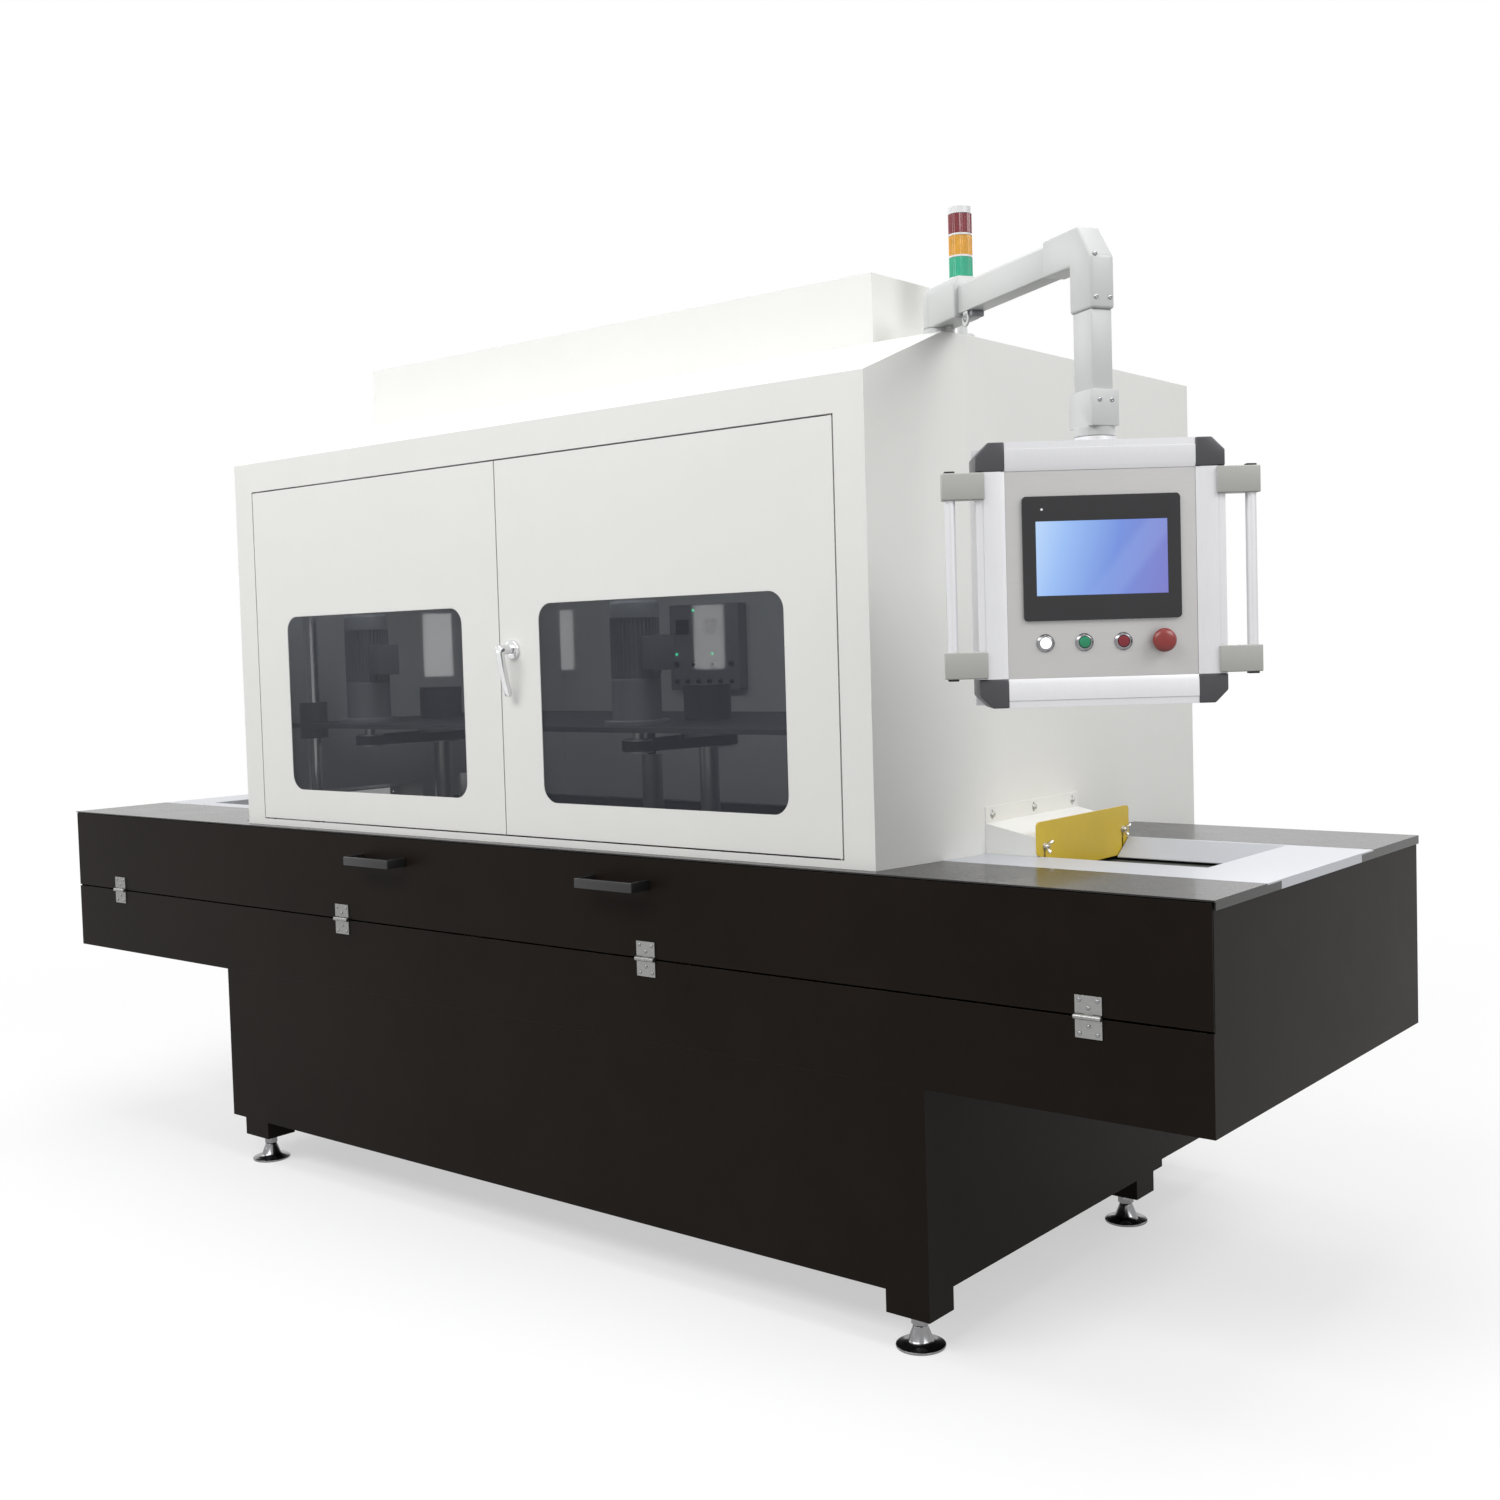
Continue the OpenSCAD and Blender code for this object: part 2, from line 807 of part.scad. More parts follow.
// Adjustable guard plate in front of the feed hood, with a slot for each wing screw
module feed_guard() {
    mid = (tunnel_y0 + tunnel_y1) / 2;
    x0 = hood_right + tunnel_l + run_gap;
    corner = 10;
    slot_r = wing_r + slot_play;
    color(yellow) difference() {
        union() {
            drawn_x(x0, x0 + guard_t)
                rounded_outline(mid - guard_w / 2, mid + guard_w / 2, deck_z + 2 * slot_play,
                    deck_z + guard_up, corner);
            block(x0, x0 + guard_t, mouth_y0 + 2 * slot_play, mouth_y1 - 2 * slot_play,
                deck_z - guard_down, deck_z + corner + guard_t);
        }
        for (y = wing_ys) {
            rod_x(x0 - over, x0 + guard_t + over, y, wing_z - guard_travel, slot_r);
            rod_x(x0 - over, x0 + guard_t + over, y, wing_z + slot_play, slot_r);
            block(x0 - over, x0 + guard_t + over, y - slot_r, y + slot_r,
                wing_z - guard_travel, wing_z + slot_play);
        }
    }
}

// Housing

// Outline of the housing from the side, drawn in by w
function side_outline(w, foot) = [
    [hood_y + w, deck_z - foot], [hood_y + w, front_top_z - w / 2],
    [slope_y + w / 2, roof_z - w], [rear_w - w, roof_z - w], [rear_w - w, rear_top_z - foot],
    [body_w + sheet_t + w, rear_top_z - foot], [body_w + sheet_t + w, deck_z - foot]];

// Outline of the housing from above, drawn in by w
function plan_outline(w) = [
    [hood_x0 + w / 2, hood_y + w], [hood_x1 - w / 2, hood_y + w], [hood_right - w, facet_y],
    [hood_right - w, rear_w - w], [hood_left + w, rear_w - w], [hood_left + w, left_facet_y]];

module housing_block(w, foot) {
    intersection() {
        drawn_x(hood_left - over, hood_right + over) polygon(side_outline(w, foot));
        drawn_z(rear_top_z - 2 * foot - over, roof_z + over) polygon(plan_outline(w));
    }
}

module housing() {
    x0 = door_x - door_gap;
    x1 = door_x2 + door_gap;
    z0 = door_z - door_gap;
    z1 = door_top + door_gap;
    color(white) {
        difference() {
            housing_block(0, 0);
            housing_block(sheet_t, 2 * sheet_t);
            block(x0, x1, hood_y - over, hood_y + 2 * sheet_t, z0, z1);
            block(hood_left - over, hood_right + over, tunnel_y0 + 2 * sheet_t,
                tunnel_y1 - 2 * sheet_t, rear_top_z - over, deck_z + tunnel_high - 2 * sheet_t);
            rod_y(body_l / 2, rear_w - 2 * sheet_t, rear_w + over, collar_z,
                collar_out_r - collar_t);
        }
        // Jamb around the door opening
        difference() {
            block(x0 - jamb_gap - jamb_t, x1 + jamb_gap + jamb_t, hood_y + sheet_t,
                hood_y + jamb_d, z0 - jamb_gap, z1 + pivot_block + jamb_t);
            block(x0 - jamb_gap, x1 + jamb_gap, hood_y, hood_y + jamb_d + over,
                z0 - jamb_gap + jamb_t, z1 + pivot_block);
            for (x = pivot_xs) rod_z(x, pivot_y, z0 - jamb_gap - over, z0, pivot_r + fit_gap);
        }
        for (x = pivot_xs) {
            pivot_seat(x, z1, z1 + block_h);
            pivot_seat(x, z0 - jamb_gap, z0);
        }
    }
}

pivot_xs = [door_x + pivot_in, door_x2 - pivot_in];
pivot_y = hood_y + pivot_back;

// Block behind the housing sheet that holds a door pivot pin
module pivot_seat(x, z0, z1) {
    difference() {
        block(x - pivot_in, x + pivot_in, hood_y + sheet_t, pivot_y + pivot_in, z0, z1);
        rod_z(x, pivot_y, z0 - over, z1 + over, pivot_r + fit_gap);
    }
}

module door_pivots() {
    z0 = door_z - door_gap;
    z1 = door_top + door_gap;
    color(steel) for (x = pivot_xs) {
        rod_z(x, pivot_y, z0 - jamb_gap, door_z + pivot_reach, pivot_r);
        rod_z(x, pivot_y, door_top - pivot_reach, z1 + block_h, pivot_r);
    }
}

module roof_box() {
    x1 = roof_box_x + roof_box_l;
    color(white) difference() {
        block(roof_box_x, x1, roof_box_y, roof_box_y + roof_box_w, roof_z, roof_z + roof_box_h);
        block(roof_box_x + sheet_t, x1 - sheet_t, roof_box_y + sheet_t,
            roof_box_y + roof_box_w - sheet_t, roof_z - over, roof_z + roof_box_h - sheet_t);
    }
}

// Doors

// Tray door with a window; pivot_x is the side with the pivot pins
module door(x0, w, pivot_x) {
    hung_left = pivot_x == x0 + pivot_in;
    x1 = x0 + w - (hung_left ? door_gap / 2 : 0);
    xs = x0 + (hung_left ? 0 : door_gap / 2);
    color(white) difference() {
        union() {
            difference() {
                block(xs, x1, hood_y, hood_y + door_t, door_z, door_top);
                block(xs + skin_t, x1 - skin_t, hood_y + skin_t, hood_y + door_t + over,
                    door_z + skin_t, door_top - skin_t);
            }
            for (z = [door_z, door_top - block_h])
                block(pivot_x - pivot_in, pivot_x + pivot_in, hood_y, pivot_y + pivot_in,
                    z, z + block_h);
        }
        drawn_y(hood_y - over, hood_y + skin_t + over)
            rounded_outline(x0 + window_side, x0 + w - window_side, door_z + window_low,
                door_z + window_low + window_h, window_r);
        for (z = [door_z - over, door_top - pivot_reach - seat_gap])
            rod_z(pivot_x, pivot_y, z, z + pivot_reach + seat_gap + over, pivot_r + fit_gap);
        rod_y(lever_x, hood_y - over, hood_y + skin_t + over, lever_z, lever_shaft_r + fit_gap);
    }
}

module window_pane(x0, w) {
    color([0.2, 0.22, 0.28]) drawn_y(hood_y + skin_t, hood_y + skin_t + pane_t)
        rounded_outline(x0 + window_side - pane_lap, x0 + w - window_side + pane_lap,
            door_z + window_low - pane_lap, door_z + window_low + window_h + pane_lap, window_r);
}

lever_x = door_x1 + lever_in;

module left_door() door(door_x, left_door_w, pivot_xs[0]);

module right_door() door(door_x1, right_door_w, pivot_xs[1]);

module left_window() window_pane(door_x, left_door_w);

module right_window() window_pane(door_x1, right_door_w);

base_plate_r = 22;
base_plate_t = 10;
cam_l = 70;
cam_w = 22;
cam_t = 5;

module lever_base() {
    color(steel) difference() {
        rod_y(lever_x, hood_y - base_plate_t, hood_y, lever_z, base_plate_r);
        rod_y(lever_x, hood_y - base_plate_t - over, hood_y + over, lever_z,
            lever_shaft_r + fit_gap);
    }
}

// Lever on a shaft through the door; it hangs down and leans back to the door
module door_lever() {
    knob_r = 11;
    tip_r = 7;
    tip_out = 20;
    y0 = hood_y - lever_out;
    color(steel) {
        rod_y(lever_x, y0, hood_y + door_t + run_gap + cam_t, lever_z, lever_shaft_r);
        rod_y(lever_x, y0, hood_y - base_plate_t - run_gap, lever_z, knob_r);
        hull() {
            translate([left_x + lever_x, front_y + y0 + tip_r, lever_z]) sphere(r = tip_r, $fn = 24);
            translate([left_x + lever_x, front_y + hood_y - tip_out, lever_z - lever_l])
                sphere(r = tip_r, $fn = 24);
        }
    }
}

module latch_cam() {
    y0 = hood_y + door_t + run_gap;
    color(steel) difference() {
        block(lever_x - cam_w / 2, lever_x + cam_w / 2, y0, y0 + cam_t,
            lever_z - cam_l, lever_z + cam_w / 2);
        rod_y(lever_x, y0 - over, y0 + cam_t + over, lever_z, lever_shaft_r + fit_gap);
    }
}

// Front flap

hinge_pitch = (body_l - 2 * flap_hinge_in) / 3;
hinge_xs = [for (i = [0:3]) flap_hinge_in + i * hinge_pitch];
axis_out = barrel_r + seat_gap;
knuckle_w = flap_hinge_w / 3;
leaf_near = barrel_r + flap_gap / 4;
leaf_screw_r = 2;
leaf_screw_head = 3.6;
flap_return = 20;
flap_end = 8;

module front_flap() {
    x0 = wall_x0;
    x1 = wall_x1;
    color(black) {
        block(x0, x1, 0, skin_t, flap_z0, flap_z1);
        for (z = [flap_z0, flap_z1 - skin_t])
            block(x0 + flap_end, x1 - flap_end, 0, flap_return, z, z + skin_t);
        for (x = [x0 + flap_end, x1 - flap_end - skin_t])
            block(x, x + skin_t, 0, flap_return, flap_z0, flap_z1);
    }
}

pull_shares = [0.379, 0.6022];
pull_xs = body_l * pull_shares;

module flap_handles() {
    leg = pull_t;
    color(black) for (x = pull_xs) difference() {
        block(x, x + pull_l, -pull_out, 0, pull_z - pull_h / 2, pull_z + pull_h / 2);
        block(x + leg, x + pull_l - leg, -pull_out + pull_t, over,
            pull_z - pull_h / 2 - over, pull_z + pull_h / 2 + over);
    }
}

// One leaf with its knuckles; side is -1 below the pin and 1 above it
module hinge_leaf(x, side, knuckles) {
    x0 = x - flap_hinge_w / 2;
    near = flap_line_z + side * leaf_near;
    far = flap_line_z + side * (leaf_near + leaf_h);
    difference() {
        union() {
            block(x0, x0 + flap_hinge_w, -leaf_t, 0, min(near, far), max(near, far));
            for (i = knuckles) {
                rod_x(x0 + i * knuckle_w + seat_gap, x0 + (i + 1) * knuckle_w - seat_gap,
                    -axis_out, flap_line_z, barrel_r);
                block(x0 + i * knuckle_w + seat_gap, x0 + (i + 1) * knuckle_w - seat_gap,
                    -leaf_t, -seat_gap, min(near, flap_line_z), max(near, flap_line_z));
            }
        }
        rod_x(x0 - over, x0 + flap_hinge_w + over, -axis_out, flap_line_z,
            flap_pin_r + fit_gap);
        for (p = leaf_screws(x, side)) rod_y(p[0], -leaf_t - over, over, p[1],
            leaf_screw_r + seat_gap);
    }
    for (p = leaf_screws(x, side)) {
        rod_y(p[0], -leaf_t, 0, p[1], leaf_screw_r);
        rod_y(p[0], -leaf_t - leaf_screw_r / 2, -leaf_t, p[1], leaf_screw_head);
    }
}

// Places of the three screws of a leaf, in a triangle
function leaf_screws(x, side) = [
    for (p = [[-1 / 3, 3 / 4], [1 / 3, 3 / 4], [0, 1 / 3]])
        [x + p[0] * flap_hinge_w, flap_line_z + side * (leaf_near + p[1] * leaf_h)]];

module fixed_hinge_leaves() {
    color(steel) for (x = hinge_xs) {
        hinge_leaf(x, -1, [0, 2]);
        rod_x(x - flap_hinge_w / 2 - leaf_t, x + flap_hinge_w / 2, -axis_out, flap_line_z,
            flap_pin_r);
    }
}

module flap_hinge_leaves() {
    color(steel) for (x = hinge_xs) hinge_leaf(x, 1, [1]);
}

// Belt drive

module belt_loop(r) {
    for (x = [roller_x0, roller_x1]) translate([x, roller_z]) circle(r = r);
    translate([roller_x0, roller_z - r]) square([roller_x1 - roller_x0, 2 * r]);
}

module conveyor_belt() {
    color([0.12, 0.14, 0.13])
        drawn_y(belt_mid_y - belt_w / 2, belt_mid_y + belt_w / 2) difference() {
            belt_loop(loop_r + belt_t);
            belt_loop(loop_r);
        }
}

module belt_bed() {
    top = belt_z - belt_t - run_gap;
    x0 = roller_x0 + loop_r + side_gap;
    x1 = roller_x1 - loop_r - side_gap;
    step = (x1 - x0 - bar_t) / (bar_n - 1);
    color(steel) {
        block(x0, x1, belt_mid_y - roller_len / 2, belt_mid_y + roller_len / 2, top - bed_t, top);
        for (i = [0:bar_n - 1])
            block(x0 + i * step, x0 + i * step + bar_t, side_y0 + side_t + seat_gap,
                side_y1 - side_t - seat_gap, top - bed_t - bar_h, top - bed_t);
        for (y = [side_y0, side_y1 - side_t]) {
            difference() {
                block(side_end, body_l - side_end, y, y + side_t, side_z0, side_z1);
                for (x = [roller_x0, roller_x1])
                    rod_y(x, y - over, y + side_t + over, roller_z, roller_shaft_r + over);
            }
            for (i = [0:bar_n - 1])
                block(x0 + i * step, x0 + i * step + bar_t, y, y + side_t,
                    trough_z + sheet_t, side_z0);
        }
    }
}

module bearing_blocks() {
    color([0.35, 0.42, 0.45]) for (x = [roller_x0, roller_x1], y = [side_y0 - block_t, side_y1])
        difference() {
            block(x - block_l / 2, x + block_l / 2, y, y + block_t,
                roller_z - block_z / 2, roller_z + block_z / 2);
            rod_y(x, y - over, y + block_t + over, roller_z, roller_shaft_r + fit_gap);
        }
}

module belt_roller(x, tail) {
    color(steel) {
        rod_y(x, belt_mid_y - roller_len / 2, belt_mid_y + roller_len / 2, roller_z, roller_r);
        rod_y(x, side_y0 - block_t, side_y1 + block_t + tail, roller_z, roller_shaft_r);
    }
}

module drive_roller() belt_roller(roller_x0, seat_gap + gear_w);

module idler_roller() belt_roller(roller_x1, 0);

module belt_gearmotor() {
    y0 = side_y1 + block_t + seat_gap;
    x0 = roller_x0 - gear_l / 2;
    color([0.3, 0.45, 0.55]) {
        difference() {
            block(x0, x0 + gear_l, y0, y0 + gear_w, roller_z - gear_h / 2,
                roller_z + gear_h / 2);
            rod_y(roller_x0, y0 - over, y0 + gear_w + over, roller_z,
                roller_shaft_r + fit_gap);
        }
        rod_x(x0 + gear_l, x0 + gear_l + gear_motor_l, y0 + gear_w / 2, roller_z,
            gear_motor_r - (gear_motor_r - gear_w / 2) / 2);
    }
}

// Brush heads

module head_frame() {
    color([0.55, 0.57, 0.6]) {
        difference() {
            union() {
                block(head_x0, head_x1, head_y0, head_y1, head_z, head_z + head_t);
                for (x = column_xs, y = column_ys)
                    rod_z(x, y, head_z - boss_down, head_z + head_t + boss_up, boss_r);
                for (x = motors_x)
                    rod_z(x, spindle_y, head_z, head_z + head_t + housing_h, housing_r);
            }
            for (x = column_xs, y = column_ys)
                rod_z(x, y, head_z - boss_down - over, head_z + head_t + boss_up + over,
                    column_r + fit_gap);
            for (x = motors_x) {
                rod_z(x, spindle_y, head_z - over, head_z + head_t + housing_h + over,
                    spindle_r + fit_gap);
                rod_z(x, motor_y, head_z - over, head_z + head_t + over, motor_shaft_r + over);
            }
        }
        for (y = column_ys) rod_z(cyl_x, y, cyl_top - rod_in + head_travel, head_z, rod_r);
    }
}

module guide_columns() {
    floor_z = trough_z + sheet_t;
    color(steel) for (x = column_xs) {
        for (y = column_ys) {
            rod_z(x, y, floor_z, column_top, column_r);
            rod_z(x, y, floor_z, floor_z + column_foot_h, column_foot_r);
        }
        block(x - beam_w / 2, x + beam_w / 2, column_ys[0] - beam_w / 2,
            column_ys[1] + beam_w / 2, column_top, column_top + beam_h);
    }
}

module lift_cylinders() {
    color([0.5, 0.52, 0.55]) for (y = column_ys) difference() {
        rod_z(cyl_x, y, trough_z + sheet_t, cyl_top, cyl_r);
        rod_z(cyl_x, y, cyl_top - rod_in, cyl_top + over, rod_r + fit_gap);
    }
}

module spindle_motors() {
    z0 = head_z + head_t;
    z1 = z0 + motor_flange_h + motor_cowl_h;
    color([0.6, 0.62, 0.65]) for (x = motors_x) difference() {
        union() {
            rod_z(x, motor_y, z0, z0 + motor_flange_h, motor_flange_r);
            rod_z(x, motor_y, z0, z1, motor_r);
            rod_z(x, motor_y, z1, z0 + motor_h, motor_r - fin_d);
            rod_z(x, motor_y, z0 + motor_h - fan_cap_h, z0 + motor_h, motor_r);
            for (i = [0:fin_n - 1])
                translate([left_x + x, front_y + motor_y, z1]) rotate(i * 360 / fin_n)
                    translate([0, -fin_t / 2, 0]) cube([motor_r - fin_short, fin_t, motor_h - motor_cowl_h
                        - motor_flange_h - fan_cap_h]);
        }
        rod_z(x, motor_y, z0 - over, z0 + shaft_up, motor_shaft_r + fit_gap);
    }
}

// Pulley on the shaft of a motor
module motor_pulley(x) {
    color(steel) {
        rod_z(x, motor_y, pulley_z, pulley_z + pulley_h, small_pulley_r);
        rod_z(x, motor_y, pulley_z, head_z + head_t + shaft_up - seat_gap, motor_shaft_r);
    }
}

module left_pulley() motor_pulley(motors_x[0]);

module right_pulley() motor_pulley(motors_x[1]);

module timing_loop(r1, r2) {
    hull() {
        translate([0, motor_y]) circle(r = r1, $fn = 32);
        translate([0, spindle_y]) circle(r = r2, $fn = 32);
    }
}

module timing_belts() {
    inset = timing_t;
    color([0.1, 0.1, 0.1]) for (x = motors_x)
        translate([x, 0, 0]) drawn_z(pulley_z + inset, pulley_z + pulley_h - inset) difference() {
            timing_loop(small_pulley_r + timing_gap + timing_t,
                big_pulley_r + timing_gap + timing_t);
            timing_loop(small_pulley_r + timing_gap, big_pulley_r + timing_gap);
        }
}

// Spindle with its pulley and brush plate; the brush ring is a piece of its own
module brush_spindle(x) {
    top = head_z + head_t + housing_h;
    hub_z = brush_z + brush_h;
    color(steel) {
        rod_z(x, spindle_y, hub_z, top, spindle_r);
        rod_z(x, spindle_y, pulley_z, pulley_z + pulley_h, big_pulley_r);
        rod_z(x, spindle_y, hub_z, hub_z + hub_t, brush_r - hub_in);
    }
    color([0.45, 0.2, 0.12]) difference() {
        rod_z(x, spindle_y, brush_z, hub_z, brush_r);
        rod_z(x, spindle_y, brush_z - over, hub_z + over, brush_bore);
    }
}

module left_spindle() brush_spindle(motors_x[0]);

module right_spindle() brush_spindle(motors_x[1]);

// Stack light

module light_body() {
    color(white) {
        rod_z(light_x, light_y, roof_z, roof_z + pole_foot_h, pole_foot_r);
        rod_z(light_x, light_y, roof_z, light_z, pole_r);
        rod_z(light_x, light_y, light_z - lamp_ring_h, light_z, lens_r);
        for (i = [1, 2]) rod_z(light_x, light_y, light_z + i * lens_h + (i - 1) * lamp_ring_h,
            light_z + i * (lens_h + lamp_ring_h), lens_r);
        rod_z(light_x, light_y, light_top_z, light_top_z + lamp_cap_h, lens_r);
    }
}

light_top_z = light_z + 3 * lens_h + 2 * lamp_ring_h;

module light_lenses() {
    for (i = [0:2]) color(["green", "orange", "red"][i])
        rod_z(light_x, light_y, light_z + i * (lens_h + lamp_ring_h),
            light_z + i * (lens_h + lamp_ring_h) + lens_h, lens_r - seat_gap);
}

// Rear fittings: two covers, the dust outlet collar and the cable gland

module rear_fittings() {
    color(white) {
        for (x = [hood_left + cover_in, hood_right - cover_in - cover_w])
            block(x, x + cover_w, rear_w, rear_w + cover_t, cover_z, cover_z + cover_h);
        difference() {
            union() {
                rod_y(body_l / 2, rear_w, rear_w + collar_l, collar_z, collar_out_r);
                rod_y(body_l / 2, rear_w, rear_w + collar_t, collar_z, collar_flange_r);
            }
            rod_y(body_l / 2, rear_w - over, rear_w + collar_l + over, collar_z,
                collar_out_r - collar_t);
        }
    }
    color(black) difference() {
        rod_y(base_x1 - gland_in, rear_w, rear_w + gland_l, gland_z, gland_r);
        rod_y(base_x1 - gland_in, rear_w - over, rear_w + gland_l + over, gland_z, gland_bore);
    }
}

// Pendant

module at_arm() {
    translate([left_x + swivel_x, front_y + swivel_y, 0]) rotate(-arm_turn) children();
}

module at_panel() {
    translate([left_x + swivel_x + elbow_dx, front_y + swivel_y - elbow_dy, 0])
        rotate(panel_turn) children();
}

// A block in the frame of the arm or panel
module part_block(x0, x1, y0, y1, z0, z1) {
    translate([x0, y0, z0]) cube([x1 - x0, y1 - y0, z1 - z0]);
}

module swivel_base() {
    color(grey) at_arm() {
        translate([0, 0, roof_z]) cylinder(r = swivel_r, h = ring_h);
        translate([0, 0, roof_z]) cylinder(r = post_r, h = post_h);
        // Clamp ear with its screw
        difference() {
            union() {
                part_block(0, ear_out, -ear_t / 2, ear_t / 2, roof_z, roof_z + ring_h - run_gap);
                translate([ear_out, ear_t / 2, roof_z - ear_drop + ear_r]) rotate([90, 0, 0])
                    cylinder(r = ear_r, h = ear_t);
            }
            part_block(-swivel_r, ear_out + 2 * ear_r, -ear_t, ear_t,
                roof_z + ring_h - run_gap / 2, roof_z + 4 * ear_r);
            part_block(-swivel_r, ear_out + 2 * ear_r, -ear_t, ear_t,
                roof_z - 4 * ear_r, roof_z);
        }
    }
}

module swivel_head() {
    z0 = roof_z + ring_h + run_gap;
    color(grey) at_arm() difference() {
        union() {
            translate([0, 0, z0]) cylinder(r = swivel_r - over, h = head_h - head_cap_h);
            translate([0, 0, z0 + head_h - head_cap_h])
                cylinder(r1 = swivel_r - over, r2 = swivel_r - over - head_cap_in, h = head_cap_h);
            translate([head_nose, 0, 0]) rotate([90, 0, -90]) linear_extrude(height = head_nose)
                polygon([[-head_w / 2, z0], [head_w / 2, z0],
                    [head_w / 2, z0 + head_h - head_cap_h],
                    [head_w / 2 - head_cap_in, z0 + head_h],
                    [head_cap_in - head_w / 2, z0 + head_h],
                    [-head_w / 2, z0 + head_h - head_cap_h]]);
        }
        translate([0, 0, z0 - over])
            cylinder(r = post_r + fit_gap, h = post_h - ring_h + over + run_gap);
    }
}

// Outline of the arm tube seen along its length, drawn in by w
function tube_outline(w) = [
    [w - tube_w / 2, arm_z + w], [tube_w / 2 - w, arm_z + w],
    [tube_w / 2 - w, arm_z + tube_h - tube_chamfer],
    [tube_w / 2 - tube_chamfer, arm_z + tube_h - w],
    [tube_chamfer - tube_w / 2, arm_z + tube_h - w],
    [w - tube_w / 2, arm_z + tube_h - tube_chamfer]];

module arm_tubes() {
    reach = arm_l - elbow_back;
    drop_z = coupling_z0 + coupling_h;
    color(grey) at_arm() {
        translate([reach, 0, 0]) rotate([90, 0, -90]) linear_extrude(height = reach - head_nose)
            difference() {
                polygon(tube_outline(0));
                polygon(tube_outline(tube_t));
            }
        difference() {
            part_block(arm_l - tube_h / 2, arm_l + tube_h / 2, -tube_w / 2, tube_w / 2,
                drop_z, elbow_z);
            part_block(arm_l - tube_h / 2 + tube_t, arm_l + tube_h / 2 - tube_t,
                tube_t - tube_w / 2, tube_w / 2 - tube_t, drop_z - over, elbow_z + over);
        }
    }
}

module arm_elbow() {
    nose = arm_l + elbow_nose;
    inner = arm_l - elbow_nose;
    color(grey) at_arm() translate([0, elbow_w / 2, 0]) rotate([90, 0, 0])
        linear_extrude(height = elbow_w) polygon([
            [arm_l - elbow_back, arm_z - elbow_wrap], [inner, arm_z - elbow_wrap],
            [inner, elbow_z], [nose, elbow_z], [nose, elbow_top - elbow_cut_z],
            [nose - elbow_cut_x, elbow_top], [arm_l - elbow_back, elbow_top]]);
}

module panel_coupling() {
    color(grey) at_arm() translate([arm_l, 0, 0]) difference() {
        union() {
            part_block(-coupling_l / 2, coupling_l / 2, -coupling_w / 2, coupling_w / 2,
                coupling_z0 + collar_h, coupling_z0 + coupling_h);
            translate([0, 0, coupling_z0]) cylinder(r = collar_r, h = collar_h);
        }
        translate([0, 0, coupling_z0 - over])
            cylinder(r = neck_rad + fit_gap, h = neck_in + over);
    }
}

module panel_frame() {
    hw = panel_w / 2;
    z0 = panel_z0;
    z1 = panel_top_z;
    color([0.83, 0.84, 0.86]) at_panel() {
        difference() {
            part_block(-hw, hw, front_n, -front_n, z0, z1);
            part_block(frame_t - hw, hw - frame_t, front_n + frame_t, -front_n - frame_t,
                z0 + frame_t, z1 - frame_t);
            part_block(bar_w + face_lip - hw, hw - bar_w - face_lip, front_n - over, 0,
                z0 + bar_w + face_lip, z1 - bar_w - face_lip);
            for (x = [-hw - over, hw - bar_w], z = [z0 - over, z1 - bar_w])
                part_block(x, x + bar_w + over, front_n - over, -front_n + over,
                    z, z + bar_w + over);
        }
        translate([0, 0, z1]) cylinder(r = neck_rad, h = coupling_z0 + neck_in - run_gap - z1);
        translate([0, 0, z1]) cylinder(r = collar_r, h = coupling_z0 - run_gap - z1);
    }
}

// Corner castings of the panel, with the outer corner cut off
module panel_corners() {
    hw = panel_w / 2;
    size = bar_w - seat_gap;
    color([0.3, 0.31, 0.34]) at_panel() for (sx = [-1, 1], sz = [-1, 1])
        translate([sx * hw, -front_n + corner_proud, sz > 0 ? panel_top_z : panel_z0])
            rotate([90, 0, 0]) linear_extrude(height = panel_d + 2 * corner_proud)
                polygon([[-sx * size, 0], [-sx * corner_cut, 0], [0, -sz * corner_cut],
                    [0, -sz * size], [-sx * size, -sz * size]]);
}

button_xs = [for (i = [0:3]) button_x0 + i * button_pitch];

module panel_face() {
    hw = panel_w / 2 - bar_w - seat_gap;
    unit_w = screen_unit_w / 2 - rear_unit_in;
    unit_h = screen_unit_h / 2 - rear_unit_in;
    color([0.75, 0.74, 0.73]) at_panel() difference() {
        part_block(-hw, hw, face_n, face_n + face_t, panel_z0 + bar_w + seat_gap,
            panel_top_z - bar_w - seat_gap);
        part_block(-unit_w, unit_w, face_n - over, face_n + face_t + over,
            unit_z - unit_h, unit_z + unit_h);
        for (x = button_xs) panel_hole(x, sleeve_r + seat_gap);
    }
}

// A hole along the panel's normal at the height of the buttons
module panel_hole(x, r) {
    translate([x, face_n - ring_t - over, button_z]) rotate([-90, 0, 0])
        cylinder(r = r, h = sleeve_l + ring_t + 2 * over);
}

// A disc along the panel's normal, n0 and n1 measured from the face to the front
module face_disc(x, n0, n1, r) {
    translate([x, face_n - n1, button_z]) rotate([-90, 0, 0]) cylinder(r = r, h = n1 - n0);
}

